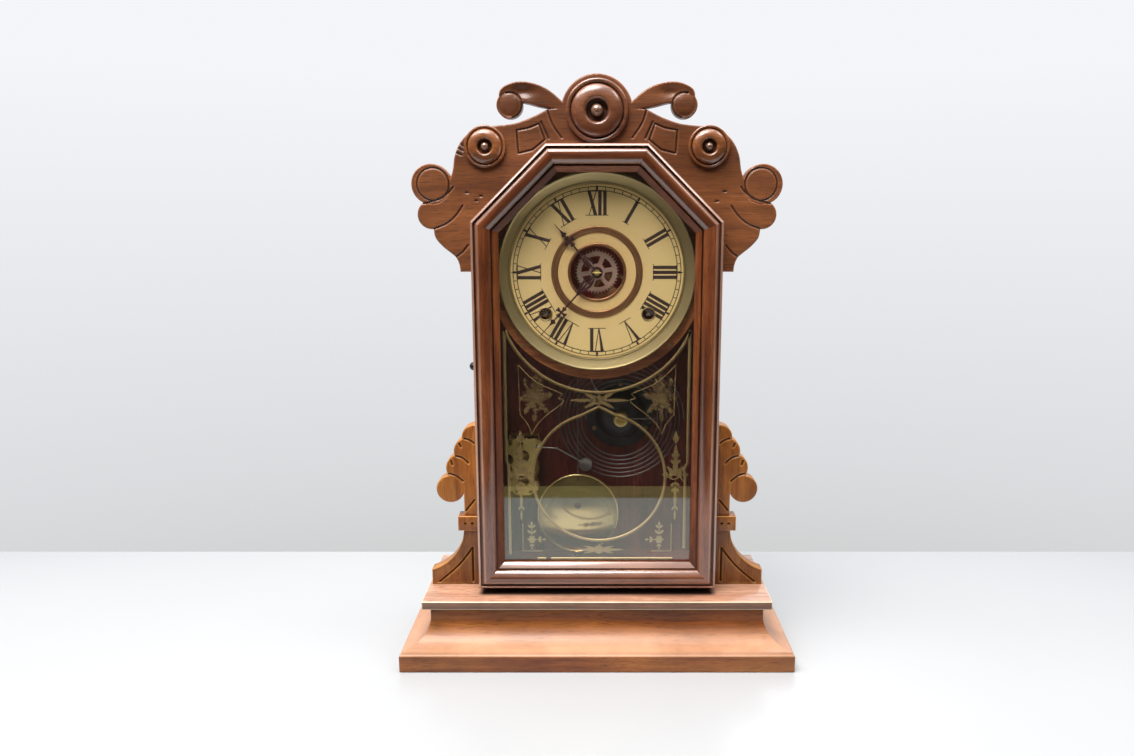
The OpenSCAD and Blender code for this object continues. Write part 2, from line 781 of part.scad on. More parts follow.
module hinge_door_leaves() {
  gap = 0.15;
  color("darkgoldenrod") for (z = hinge_z) {
    z0 = z - knuckle / 2 + gap;
    h = knuckle - 2 * gap;
    difference() {
      union() {
        translate([hinge_at[0], hinge_at[1], z0]) cylinder(r = knuckle_r, h = h, $fn = bore_fn);
        translate([case_w / 2 - leaf_t, y_door_back - leaf_w + 0.2, z - hinge_len / 2 + 0.2])
          cube([leaf_t, leaf_w - 2.6, hinge_len - 0.4]);
        translate([case_w / 2 - leaf_t, y_door_back - leaf_w + 0.2, z0])
          cube([leaf_t, leaf_w + door_gap / 2 - 0.2, h]);
      }
      translate([hinge_at[0], hinge_at[1], z0 - eps])
        cylinder(r = hinge_pin_r + fit, h = h + 2 * eps, $fn = bore_fn);
    }
  }
}

// Catch: a turned button on the door's left edge, whose hook hangs down when
// it is open and turns back over the round-headed screw in the case side
y_catch = y_door_back - 8;
catch_pin_r = 1.3;
catch_reach = 17;
catch_hook_t = 1;
catch_screw_r = 1.1;
catch_x = case_w / 2 + 0.3;

module catch_button() {
  color([0.12, 0.08, 0.05]) {
    translate([-catch_x - catch_hook_t, y_catch, z_catch]) rotate([0, -90, 0])
      difference() {
        sphere(r = catch_r, $fn = bore_fn);
        translate([0, 0, -catch_r]) cube([2 * catch_r + 1, 2 * catch_r + 1, 2 * catch_r], center = true);
      }
    translate([-catch_x - catch_hook_t, y_catch, z_catch]) rotate([0, 90, 0])
      cylinder(r = catch_pin_r, h = 10, $fn = bore_fn);
    translate([-catch_x - catch_hook_t, y_catch, z_catch]) rotate([90, 0, 90])
      linear_extrude(height = catch_hook_t) difference() {
        union() {
          circle(r = catch_r - 0.8, $fn = bore_fn);
          translate([-2, -catch_reach]) square([4, catch_reach]);
          translate([0, -catch_reach]) circle(r = 3.4, $fn = bore_fn);
        }
        translate([0, -catch_reach]) circle(r = catch_screw_r + 0.4, $fn = bore_fn);
        translate([0, -catch_reach - catch_screw_r - 0.4])
          square([6, 2 * catch_screw_r + 0.8]);
      }
  }
}

// ---------------------------------------------------------------- screws

// Slotted screw into the backboard, a plate or a leaf, with its axis along Y
module screw_y(p, y, r, l) {
  head_h = 0.9 * r;
  difference() {
    union() {
      bar(p, r, y - eps / 5, y + l, 24);
      bar(p, 1.9 * r, y - head_h, y, 24);
    }
    translate([p[0] - 2 * r, y - head_h - eps, p[1] - 0.15 * r])
      cube([4 * r, head_h * 0.5 + eps, 0.3 * r]);
  }
}

// Round-headed screw into the case, with its head outwards along X
module screw_x(s, y, z, r, l, head_x) {
  translate([s * head_x, y, z]) rotate([0, -s * 90, 0]) {
    cylinder(r = r, h = l, $fn = 24);
    translate([0, 0, -0.8 * r]) cylinder(r = 1.9 * r, h = 0.8 * r, $fn = 24);
  }
}

block_x = 54;
block_w = 12;
block_screws = [-58, 28];
gong_screw_r = 30.6;
alarm_at = [-74, z_top_board + 104];

module fixing_screws() {
  color("darkgoldenrod") {
    for (a = [45 : 90 : 315])
      screw_y(on_circle(centre, dial_board_r - 3.4, a), y_dial_board, 1, 4);
    for (x = [-block_x, block_x], dz = block_screws)
      screw_y([x, z_dial + dz], y_back_plate, 1.4, 11);
    for (z = hinge_z, s = [-1, 1])
      screw_x(1, hinge_screw_y, z + s * hinge_len / 4, hinge_screw_r, 6, case_w / 2 - leaf_t);
    screw_x(-1, y_catch_screw, z_catch, catch_screw_r, 9, catch_x + catch_hook_t + 0.4);
    for (a = [90, 210, 330])
      screw_y(on_circle([gong_x, z_gong], gong_screw_r, a), y_board - 2, 1.2, 6);
    for (dx = [-13, 13])
      screw_y([alarm_at[0] + dx, alarm_at[1] + 27], y_alarm_back - alarm_plate_t, 1.1, 15);
  }
}

y_catch_screw = y_catch + catch_reach;

// ---------------------------------------------------------------- dial

module dial_plate() {
  sheet = y_dial_board - y_dial;
  color("beige") difference() {
    turned(centre, y_dial_board) polygon(concat(
      [[dial_hole_r, 0], [dial_r, 0], [dial_r, sheet], [42, sheet]],
      [for (a = [0 : 20 : 180]) [38.85 + 3.1 * cos(a), sheet + 0.8 * sin(a)]],
      [[dial_hole_r + 2.7, sheet]],
      [for (a = [0 : 30 : 180]) [dial_hole_r + 1.35 + 1.3 * cos(a), sheet + 1.1 * sin(a)]],
      [[dial_hole_r, sheet]]));
    for (p = [time_arbor, strike_arbor])
      bar(p, winding_hole_r, y_dial - 3, y_dial_board + eps);
  }
}

module dial_bezel() {
  inner = dial_r + 0.3;
  color("gold") turned(centre, y_dial_board, 180) polygon(concat(
    [[inner, 0], [bezel_r, 0]],
    [for (a = [0 : 15 : 120])
      [bezel_r - 3.2 + 3.2 * cos(a), bezel_h - 3.2 + 3.2 * sin(a)]],
    [[inner + 3, bezel_h - 2.2], [inner + 1.2, 2.6], [inner, 2.4]]));
}

// Openwork hand pointing up from the centre: a tapered blade with a cross of
// round lobes and a diamond, and leaf-shaped sides near the boss
module hand_shape(l, cross_at, diamond_at, boss) {
  circle(r = boss, $fn = bore_fn);
  polygon([[-1, 0], [1, 0], [1.1, cross_at], [0.8, diamond_at], [0.2, l], [-0.2, l],
           [-0.8, diamond_at], [-1.1, cross_at]]);
  for (p = [[-2.9, 0], [2.9, 0], [0, 2.9], [0, -2.9]])
    translate([p[0], cross_at + p[1]]) circle(r = 1.9, $fn = 24);
  translate([0, cross_at]) circle(r = 2.1, $fn = 24);
  translate([0, diamond_at]) polygon([[-2.6, 0], [0, -4.6], [2.6, 0], [0, 5.6]]);
  for (s = [-1, 1])
    translate([s * 1.6, cross_at * 0.36]) rotate(s * -7)
      scale_leaf(cross_at * 0.2);
}

// Leaf outline from two arcs
module scale_leaf(half) {
  bulge = half * 2.2;
  intersection() {
    translate([bulge - 1.6, 0]) circle(r = bulge, $fn = arc_fn);
    translate([1.6 - bulge, 0]) circle(r = bulge, $fn = arc_fn);
  }
}

y_hour_hand = y_dial - 2.8;
y_minute_hand = y_dial - 4.7;
hand_t = 0.7;

module minute_hand() {
  color([0.12, 0.05, 0.05]) slab(y_minute_hand, y_minute_hand + hand_t)
    translate(centre) difference() {
      rotate(minute_angle) hand_shape(minute_len, 49, 60, 4);
      circle(r = 1.5, $fn = bore_fn);
    }
}

module hour_hand() {
  color([0.12, 0.05, 0.05]) slab(y_hour_hand, y_hour_hand + hand_t)
    translate(centre) difference() {
      rotate(hour_angle) hand_shape(hour_len, 37.5, 46, 5);
      circle(r = pipe_r, $fn = bore_fn);
    }
}

// ---------------------------------------------------------------- motion work

centre_r = 2;
pipe_r = 3;
y_hour = y_dial_board_back + 2.5;
y_minute = y_dial_board_back + 6.5;

// Centre arbor with the cannon pinion, the minute hand's seat and its pin
module centre_arbor() {
  pin_y = y_minute_hand - 1;
  color("goldenrod") {
    bar(centre, 1.5, y_minute_hand - 2, y_dial_board_back);
    bar(centre, centre_r, y_minute_hand + hand_t, y_front_plate - 3);
    bar(centre, 1.2, y_front_plate - 3, y_back_plate_end + 0.6);
    slab(y_minute - 0.6, y_minute + 2) translate(centre)
      teeth(cannon_teeth, minute_m, 0, 0.36, 0.7);
    difference() {
      bar(centre, 2.6, pin_y - 0.5, y_minute_hand);
      bar(centre, 1.4, pin_y - 1, y_minute_hand + eps);
    }
    translate([-4, pin_y - 1.1, z_dial]) rotate([0, 90, 0]) cylinder(r = 0.4, h = 8, $fn = 24);
  }
}

module minute_wheel() {
  color("goldenrod") {
    slab(y_minute, y_minute + 1.2)
      wheel(minute_at, minute_teeth, minute_m, minute_turn, 2.4, 5, 4, stud_r + fit, 0.36);
    slab(y_hour - 0.8, y_minute) translate(minute_at) difference() {
      teeth(minute_leaves, hour_m, minute_turn, 0.36, 0.7);
      circle(r = stud_r + fit, $fn = bore_fn);
    }
  }
}

// Six-spoked hour wheel on the pipe that carries the hour hand
module hour_wheel() {
  color("goldenrod") {
    slab(y_hour, y_hour + 1.4)
      wheel(centre, hour_teeth, hour_m, hour_turn, 3.4, 7.6, 6, centre_r + fit, 0.36);
    difference() {
      bar(centre, pipe_r, y_hour_hand + hand_t, y_hour + 1.4);
      bar(centre, centre_r + fit, y_hour_hand, y_hour + 2);
    }
    difference() {
      bar(centre, pipe_r - 0.02, y_hour_hand, y_hour);
      bar(centre, centre_r + fit, y_hour_hand - eps, y_hour + 2);
    }
  }
}

// ---------------------------------------------------------------- frame of the movement

stud_r = 1;
plate_low = -76;
plate_high = 57;
plate_x = 60;
pillar_at = [[-52, 46], [52, 46], [-50, -72], [50, -72]];
strike_hammer_at = [-16, z_dial - 68];

// Outline of a plate round the dial centre, with its bores and windows
module plate_shape() {
  translate(centre) difference() {
    polygon([[-plate_x, plate_low + 8], [-plate_x + 8, plate_low], [plate_x - 8, plate_low],
             [plate_x, plate_low + 8], [plate_x, plate_high - 20], [plate_x - 20, plate_high],
             [-plate_x + 20, plate_high], [-plate_x, plate_high - 20]]);
    for (s = [-1, 1]) translate([s * 40, 26]) circle(r = 5, $fn = bore_fn);
    translate([-4, -70]) square([30, 22]);
    translate([-8, 42]) square([30, 8]);
  }
}

module pivot_bores(y) {
  for (p = [second_at, third_at, escape_at, pin_at, fly_at, strike_hammer_at])
    bar(p, pivot_r + fit, y - eps, y + plate_t + eps);
  for (p = [time_arbor, strike_arbor])
    bar(p, winding_r + fit, y - eps, y + plate_t + eps);
  for (p = pillar_at)
    bar(centre + p, pillar_screw_r, y - eps, y + plate_t + eps);
}

winding_r = 2.4;
pillar_screw_r = 1.6;
verge_arbor_r = 0.8;

module front_plate() {
  color("gold") {
    difference() {
      slab(y_front_plate, y_train) plate_shape();
      pivot_bores(y_front_plate);
      bar(centre, 1.2 + fit, y_front_plate - eps, y_train + eps);
      bar(verge_at, verge_arbor_r + fit, y_front_plate - eps, y_train + eps);
    }
    bar(minute_at, stud_r, y_hour - 1.4, y_train);
  }
}

module back_plate() {
  color("gold") difference() {
    slab(y_back_plate, y_back_plate_end) plate_shape();
    pivot_bores(y_back_plate);
    bar(centre, 1.2 + fit, y_back_plate - eps, y_back_plate_end + eps);
    bar(verge_at, verge_arbor_r + fit, y_back_plate - eps, y_back_plate_end + eps);
    for (x = [-block_x, block_x], dz = block_screws)
      bar([x, z_dial + dz], 1.4, y_back_plate - eps, y_back_plate_end + eps);
  }
}

module plate_pillars() {
  color("gold") for (p = pillar_at) {
    q = centre + p;
    bar(q, 2.6, y_train, y_back_plate);
    bar(q, pillar_screw_r, y_front_plate - 2.4, y_back_plate_end - 0.2);
    bar(q, 2.8, y_front_plate - 2, y_front_plate, 6);
  }
}

module movement_blocks() {
  color("sienna") difference() {
    both_sides()
      translate([block_x - block_w / 2, y_back_plate_end, z_dial + plate_low])
        cube([block_w, y_board - y_back_plate_end, 120]);
    for (x = [-block_x, block_x], dz = block_screws)
      bar([x, z_dial + dz], 1.4, y_back_plate_end - eps, y_board + eps);
  }
}

// ---------------------------------------------------------------- going train

great_y = y_train + 2.6;
great_t = 2;
ratchet_y = great_y + great_t + 0.4;
spring_y = ratchet_y + 2.6;
spring_w = 16;
second_y = spring_y + spring_w + 1.6;
centre_y = second_y - 6.4;
third_y = centre_y - 5;
escape_y = y_train + 1.4;
wheel_t = 1.2;

// Arbor with its winding square, ratchet wheel and the collar for the spring
module winding_arbor(p) {
  square_w = 3.4;
  color("darkgray") {
    bar(p, winding_r, y_front_plate - 6, y_back_plate_end - 0.2);
    slab(y_dial + 1.5, y_front_plate - 6) translate(p)
      square([square_w, square_w], center = true);
    slab(ratchet_y, ratchet_y + 1.6) translate(p)
      polygon([for (k = [0 : 23]) on_circle([0, 0], k % 2 == 0 ? 11 : 9, k * 15 + (k % 2) * 11)]);
    bar(p, winding_r + 1, ratchet_y + 1.6, spring_y + spring_w);
  }
}

module time_winding_arbor() { winding_arbor(time_arbor); }

module strike_winding_arbor() { winding_arbor(strike_arbor); }

module great_wheel(p) {
  color("goldenrod") slab(great_y, great_y + great_t)
    wheel(p, great_teeth, great_m, 0, 3, 14, 5, winding_r + fit);
}

module time_great_wheel() { great_wheel(time_arbor); }

module strike_great_wheel() { great_wheel(strike_arbor); }

// Spiral strip of a mainspring, from the collar out to its loose outer turns
module spring_shape() {
  inner = winding_r + 1.3;
  turns = 6;
  outer = 26;
  steps = 18;
  n = turns * steps;
  strip = 0.5;
  polygon(concat(
    [for (i = [0 : n]) on_circle([0, 0], inner + (outer - inner) * i / n, i * 360 / steps)],
    [for (i = [n : -1 : 0])
      on_circle([0, 0], inner + strip + (outer - inner) * i / n, i * 360 / steps)]));
}

module mainsprings() {
  color("dimgray") slab(spring_y, spring_y + spring_w) {
    translate(time_arbor) spring_shape();
    translate(strike_arbor) mirror([1, 0]) spring_shape();
  }
}

module second_wheel() {
  color("goldenrod") {
    arbor(second_at, 1.4);
    lantern(second_at, second_leaves, great_m, second_turn, great_y - 1.4, great_y + great_t + 1.4);
    slab(second_y, second_y + wheel_t)
      wheel(second_at, second_teeth, second_m, second_turn, 2.2, 5, 4, 0);
  }
}

// Centre wheel and its lantern pinion on a pipe that the centre arbor slips in
module centre_wheel() {
  bore = 1.2 + fit;
  color("goldenrod") {
    difference() {
      bar(centre, 2.2, centre_y - 2, second_y + wheel_t + 1.4);
      bar(centre, bore, centre_y - 3, second_y + wheel_t + 3);
    }
    lantern(centre, centre_leaves, second_m, centre_turn, second_y - 1.6, second_y + wheel_t + 1.4, bore);
    slab(centre_y, centre_y + wheel_t)
      wheel(centre, centre_teeth, centre_m, centre_turn, 1.8, 4, 4, bore);
  }
}

module third_wheel() {
  color("goldenrod") {
    arbor(third_at, 1);
    lantern(third_at, third_leaves, centre_m, third_turn, centre_y - 1.4, centre_y + wheel_t + 1.4);
    slab(third_y, third_y + wheel_t)
      wheel(third_at, third_teeth, third_m, third_turn, 1.6, 3.4, 4, 0);
  }
}

// Escape wheel with raked, pointed teeth
module escape_wheel() {
  step = 360 / escape_teeth;
  color("goldenrod") {
    arbor(escape_at, 0.9);
    lantern(escape_at, escape_leaves, third_m, escape_turn, third_y - 1.4, third_y + wheel_t + 1.4);
    slab(escape_y, escape_y + 1) translate(escape_at) difference() {
      polygon([for (k = [0 : escape_teeth - 1], e = [[13.2, 0], [escape_r, 0.12], [13.2, 0.55]])
        on_circle([0, 0], e[0], (k + e[1]) * step)]);
      difference() {
        circle(r = 11.6, $fn = arc_fn);
        circle(r = 3.4, $fn = bore_fn);
        for (a = [0, 90]) rotate(a) square([24, 1.8], center = true);
      }
    }
  }
}

// ---------------------------------------------------------------- verge and pendulum

pallet_r = escape_r + 2;
rod_r = 0.6;
crutch_drop = 46;

// Bent steel verge over the escape wheel, its arbor, and the crutch wire that
// hangs behind the rod and holds it in a fork
module verge() {
  wire_r = 0.5;
  y_wire = y_rod + 2.9;
  fork_z = verge_at[1] - crutch_drop;
  fork_half = rod_r + 0.5;
  color("gray") {
    bar(verge_at, verge_arbor_r, y_wire - 0.7, y_back_plate_end + 0.5);
    slab(escape_y - 0.4, escape_y + 1.6) {
      translate(escape_at) difference() {
        circle(r = pallet_r + 1.4, $fn = arc_fn);
        circle(r = pallet_r, $fn = arc_fn);
        translate([-40, -70]) square([80, 77]);
      }
      translate(verge_at) polygon([[-2.4, 1], [2.4, 1], [2.4, -3.4], [-2.4, -3.4]]);
    }
    translate([verge_at[0], y_wire, fork_z]) cylinder(r = wire_r, h = crutch_drop, $fn = 24);
    translate([verge_at[0] - fork_half - 0.6, y_wire - 0.4, fork_z - 0.5])
      cube([2 * fork_half + 1.2, 0.8, 1]);
    for (s = [-1, 1])
      translate([verge_at[0] + s * (fork_half + 0.3) - 0.3, y_rod - 1.4, fork_z - 0.5])
        cube([0.6, y_wire - y_rod + 1.6, 1]);
  }
}

// Cock on the front plate that holds the top of the pendulum spring
module suspension_cock() {
  top = 12;
  color("gold") {
    translate([verge_at[0] - 3, y_rod - 2, verge_at[1] + top])
      cube([6, y_front_plate - y_rod + 2, 3]);
    translate([verge_at[0] - 3, y_front_plate - 1, verge_at[1] + top - 6]) cube([6, 1, 9]);
    difference() {
      translate([verge_at[0] - 2.5, y_rod - 2, verge_at[1] + top - 4]) cube([5, 4, 4]);
      translate([verge_at[0] - 0.2, y_rod - 1.5, verge_at[1] + top - 4 - eps]) cube([0.4, 3, 3]);
    }
  }
}

// Suspension strip, rod and the hook for the bob; it bends at the verge's axis
module pendulum_rod() {
  hook_z = bob_z + 14;
  color([0.25, 0.22, 0.2]) {
    translate([pendulum_x - 0.1, y_rod - 1.2, verge_at[1] - 8]) cube([0.2, 2.4, 15.6]);
    bar([pendulum_x, verge_at[1] - 8], 1.2, y_rod - 1.6, y_rod + 1.6, 24);
    translate([pendulum_x, y_rod, hook_z]) cylinder(r = rod_r, h = verge_at[1] - 8 - hook_z, $fn = 24);
  }
}

// Brass-faced bob, domed in front, with a slot for the hook and a rating nut
module pendulum_bob() {
  c = [pendulum_x, bob_z];
  dome = 6;
  shell_r = (bob_r * bob_r + dome * dome) / (2 * dome);
  sheet = 1.2;
  slot_r = 3.2;
  color("gold") difference() {
    union() {
      turned(c, y_rod + 2) polygon(concat(
        [[0, 0], [bob_r, 0], [bob_r, sheet]],
        [for (r = [bob_r - 1.2 : -bob_r / 12 : 1])
          [r, sheet + dome - shell_r + sqrt(shell_r * shell_r - r * r)]],
        [[0, sheet + dome]]));
      translate([c[0], y_rod, c[1] - bob_r - nut_drop]) cylinder(r = 0.9, h = nut_drop + 4, $fn = 24);
      translate([c[0], y_rod, c[1] - bob_r - nut_drop + 1.4])
        cylinder(r = 3.2, h = 2.4, $fn = bore_fn);
    }
    bar(c + [0, 9.6], slot_r, y_rod - 8, y_rod + 4);
    translate([c[0], y_rod, c[1] + 10]) cylinder(r = rod_r + 0.02, h = 4.01, $fn = 24);
    translate([c[0] - rod_r - 0.3, y_rod - rod_r - 0.3, c[1] + 14])
      cube([2 * rod_r + 0.6, 4, bob_r]);
  }
}

// ---------------------------------------------------------------- strike train

pin_y = second_y;
fly_y = spring_y + 1;
hammer_y = y_coil - 8;
pin_ring_r = 14.9;
lift_pin_r = 0.6;

// Count wheel with a notch for each blow of twelve hours, loose on the arbor
module count_wheel() {
  blows = 78;
  tip = 17;
  foot = 15.6;
  color("goldenrod") slab(y_front_plate - 5.2, y_front_plate - 4) translate(strike_arbor)
    difference() {
      polygon([for (k = [0 : blows - 1], e = [[foot, 0], [tip, 0.1], [tip, 0.7], [foot, 0.8]])
        on_circle([0, 0], e[0], (k + e[1]) * 360 / blows)]);
      difference() {
        circle(r = foot - 3, $fn = arc_fn);
        circle(r = winding_r + 3, $fn = bore_fn);
        for (a = [0, 90]) rotate(a) square([2 * foot, 2.4], center = true);
      }
      circle(r = winding_r + fit, $fn = bore_fn);
    }
}

module strike_pin_wheel() {
  color("goldenrod") {
    arbor(pin_at, 1.2);
    lantern(pin_at, pin_leaves, great_m, pin_turn, great_y - 1.4, great_y + great_t + 1.4);
    slab(pin_y, pin_y + wheel_t)
      wheel(pin_at, pin_teeth, pin_m, pin_turn, 2.6, 4, 4, 0);
    for (k = [0 : 7])
      bar(on_circle(pin_at, pin_ring_r, 45 * k), lift_pin_r, pin_y - 1.2, pin_y + wheel_t / 2, 24);
  }
}

module strike_fly() {
  fan_r = 12;
  color("goldenrod") {
    arbor(fly_at, 0.9);
    lantern(fly_at, fly_leaves, pin_m, fly_turn, pin_y - 1.4, pin_y + wheel_t + 1.4);
    translate([fly_at[0], fly_y, fly_at[1]]) rotate([0, 30, 0])
      translate([-fan_r, 0, -0.4]) cube([2 * fan_r, 13, 0.8]);
  }
}

// Strike hammer: an arbor between the plates, its tail for the pins, and the
// wire down to a head inside the gong's inner turn
strike_head = [5.5, z_gong + 21];
strike_bend = [-4.5, z_gong + 38];

module strike_hammer() {
  hammer_wire_r = 0.7;
  tail_y = pin_y - 1.1;
  tail = norm(pin_at - strike_hammer_at) - pin_ring_r - lift_pin_r - 0.5;
  color([0.3, 0.28, 0.26]) {
    arbor(strike_hammer_at, 1.1);
    wire([strike_hammer_at[0], hammer_y, strike_hammer_at[1]],
         [strike_bend[0], hammer_y, strike_bend[1]], hammer_wire_r);
    wire([strike_bend[0], hammer_y, strike_bend[1]],
         [strike_head[0], hammer_y, strike_head[1]], hammer_wire_r);
    translate([strike_bend[0], hammer_y, strike_bend[1]]) sphere(r = hammer_wire_r + 0.1, $fn = 24);
    bar(strike_head, 4, hammer_y - 2, y_coil + 2);
    slab(tail_y, tail_y + 0.7) translate(strike_hammer_at)
      rotate(heading(strike_hammer_at, pin_at)) translate([0, -0.8]) square([tail, 1.6]);
  }
}

// ---------------------------------------------------------------- gong

gong_base_r = 35;

module gong_base() {
  color([0.2, 0.2, 0.22]) difference() {
    turned([gong_x, z_gong], y_board) polygon(concat(
      [[0, 0], [gong_base_r, 0], [gong_base_r, 2]],
      [for (a = [0 : 10 : 80]) [12 + 14 * cos(a), 2 + 15 * sin(a)]],
      [[9, 18], [9, 20], [0, 20]]));
    for (a = [90, 210, 330])
      bar(on_circle([gong_x, z_gong], gong_screw_r, a), 1.2, y_board - 18, y_board + eps);
  }
}

// Slotted brass boss that clamps the coil's inner end
module gong_boss() {
  color("gold") difference() {
    union() {
      bar([gong_x, z_gong], 7.6, y_coil - 4, y_board - 20);
      bar([gong_x, z_gong], 4.2, y_coil - 6, y_coil - 4);
    }
    translate([gong_x - 6, y_coil - 7, z_gong - 0.6]) cube([12, 2, 1.2]);
    translate([gong_x, y_coil, z_gong]) rotate([0, 90, 0])
      cylinder(r = coil_wire_r, h = 10, $fn = 24);
  }
}

// Flat spiral of half turns whose centres step from side to side, with a
// straight inner end into the boss
module gong_coil() {
  shift = coil_pitch / 4;
  color("silver") translate([gong_x, y_coil, z_gong]) union() {
    for (k = [0 : coil_half_turns - 1]) {
      even = k % 2 == 0;
      translate([even ? shift : -shift, 0, 0]) rotate([90, even ? 0 : 180, 0])
        rotate_extrude(angle = 180, $fn = arc_fn)
          translate([coil_r + k * coil_pitch / 2, 0]) circle(r = coil_wire_r, $fn = 24);
    }
    translate([4, 0, 0]) rotate([0, 90, 0])
      cylinder(r = coil_wire_r, h = coil_r + shift - 4, $fn = 24);
  }
}

// ---------------------------------------------------------------- alarm

y_alarm = y_board - 26;
y_alarm_back = y_alarm + 16;
alarm_wheel_r = 17;
alarm_plate_t = 1.2;
alarm_verge_at = [alarm_at[0] + 13.5, alarm_at[1] + 24];

// Two small brass plates with their pillars and a foot to the backboard
module alarm_frame() {
  t = alarm_plate_t;
  color("gold") difference() {
    union() {
      for (y = [y_alarm, y_alarm_back - t])
        slab(y, y + t) translate(alarm_at)
          polygon([[-15, -22], [-6, -28], [6, -28], [15, -22], [11, 0], [18, 22], [14, 31],
                   [-14, 31], [-18, 22], [-11, 0]]);
      for (p = [[-9, 26], [3, 27], [-10, -20], [10, -20]])
        bar(alarm_at + p, 1.8, y_alarm, y_alarm_back);
      slab(y_alarm_back - t, y_board) translate(alarm_at + [-15, 24]) square([30, 6]);
    }
    for (x = [-13, 13]) {
      bar(alarm_at + [x, 27], 2.6, y_alarm - eps, y_alarm_back - t, 24);
      bar(alarm_at + [x, 27], 1.1, y_alarm_back - 2 * t, y_board + eps, 24);
    }
    for (p = [alarm_at, alarm_verge_at])
      bar(p, pivot_r + fit, y_alarm - eps, y_alarm_back + 2);
  }
}

// Toothed alarm wheel with its barrel
module alarm_wheel() {
  teeth_n = 40;
  color("goldenrod") {
    bar(alarm_at, pivot_r, y_alarm - 0.6, y_alarm_back + 0.6);
    bar(alarm_at, 5, y_alarm + 6, y_alarm_back - 1.8);
    slab(y_alarm + 4.2, y_alarm + 5.4) translate(alarm_at)
      polygon([for (k = [0 : teeth_n - 1], e = [[15, 0], [alarm_wheel_r, 0.15], [15, 0.7]])
        on_circle([0, 0], e[0], (k + e[1]) * 360 / teeth_n)]);
    bar(alarm_at, 2, y_alarm + 1.6, y_alarm + 6);
  }
}

// Alarm hammer: verge arbor, bent wire and a round head in front of the coil
module alarm_hammer() {
  y = y_coil - 4.5;
  knee = [-40, z_top_board + 126.5];
  head = [-11.3, z_top_board + 110.2];
  color([0.3, 0.28, 0.26]) {
    bar(alarm_verge_at, pivot_r, y - 0.7, y_alarm_back + 0.6);
    wire([alarm_verge_at[0], y, alarm_verge_at[1]], [knee[0], y, knee[1]], 0.7);
    wire([knee[0], y, knee[1]], [head[0], y, head[1]], 0.7);
    bar(knee, 1, y - 0.9, y + 0.9, 24);
    bar(head, 6.3, y - 3, y + 2.6);
  }
}

base_top_board();
base_mouldings();
base_back_rail();
case_floor();
case_left_side();
case_right_side();
case_roof_boards();
backboard();
dial_board();
crest_board();
centre_rosette();
side_rosettes();
rosette_buttons();
left_bracket();
right_bracket();
hinge_case_leaves();
fixing_screws();
dial_plate();
dial_bezel();
front_plate();
back_plate();
plate_pillars();
movement_blocks();
mainsprings();
suspension_cock();
gong_base();
gong_boss();
gong_coil();
alarm_frame();
door_left_stile();
door_right_stile();
door_slopes();
door_top_rail();
door_bottom_rail();
door_glass();
glass_beads();
hinge_door_leaves();
catch_button();
centre_arbor();
minute_hand();
minute_wheel();
hour_wheel();
hour_hand();
time_winding_arbor();
time_great_wheel();
second_wheel();
centre_wheel();
third_wheel();
escape_wheel();
verge();
pendulum_rod();
pendulum_bob();
strike_winding_arbor();
strike_great_wheel();
count_wheel();
strike_pin_wheel();
strike_fly();
strike_hammer();
alarm_wheel();
alarm_hammer();
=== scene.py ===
# %% [markdown]
# # A carved walnut shelf clock
# The clock stands on a moulded base. A full-length door with an octagon top covers the
# dial, the pendulum and a coil gong. This lesson dresses a measured solid model: it keeps
# the small metal parts and remakes what the eye rests on, which is the carved crest and
# brackets, the mitred frame, the mouldings, the turnings, the dial and the gilt glass.

# %% Load the solid model
import math
import random

import bmesh
import bpy
import numpy as np
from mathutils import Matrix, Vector


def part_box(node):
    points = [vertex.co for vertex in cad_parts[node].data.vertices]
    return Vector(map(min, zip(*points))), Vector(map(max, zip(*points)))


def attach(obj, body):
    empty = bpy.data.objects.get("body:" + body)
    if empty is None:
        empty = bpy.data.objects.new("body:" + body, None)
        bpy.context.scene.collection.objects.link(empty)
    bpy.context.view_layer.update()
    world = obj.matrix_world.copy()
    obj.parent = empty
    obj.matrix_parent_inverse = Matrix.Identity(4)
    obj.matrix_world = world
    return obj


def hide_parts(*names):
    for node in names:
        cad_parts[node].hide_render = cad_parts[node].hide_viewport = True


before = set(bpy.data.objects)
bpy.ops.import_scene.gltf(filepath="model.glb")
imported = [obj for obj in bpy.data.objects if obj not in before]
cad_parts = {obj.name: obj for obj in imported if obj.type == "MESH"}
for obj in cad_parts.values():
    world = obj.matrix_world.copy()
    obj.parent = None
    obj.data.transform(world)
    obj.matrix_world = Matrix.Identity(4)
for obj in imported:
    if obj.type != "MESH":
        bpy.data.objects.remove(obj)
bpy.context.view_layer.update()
scene = bpy.context.scene
print("solids loaded:", len(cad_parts), "nodes")

# %% [markdown]
# ## Measures
# Sizes are written in millimetres, as a clock maker reads them, and turned to metres when
# a mesh is made. What the solids already say is read back from their boxes, so that a
# remade piece lands where its solid is.

# %% Measures
MM = 0.001


def span(node):
    """Box of a solid in millimetres: two corners."""
    low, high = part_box(node)
    return [c / MM for c in low], [c / MM for c in high]


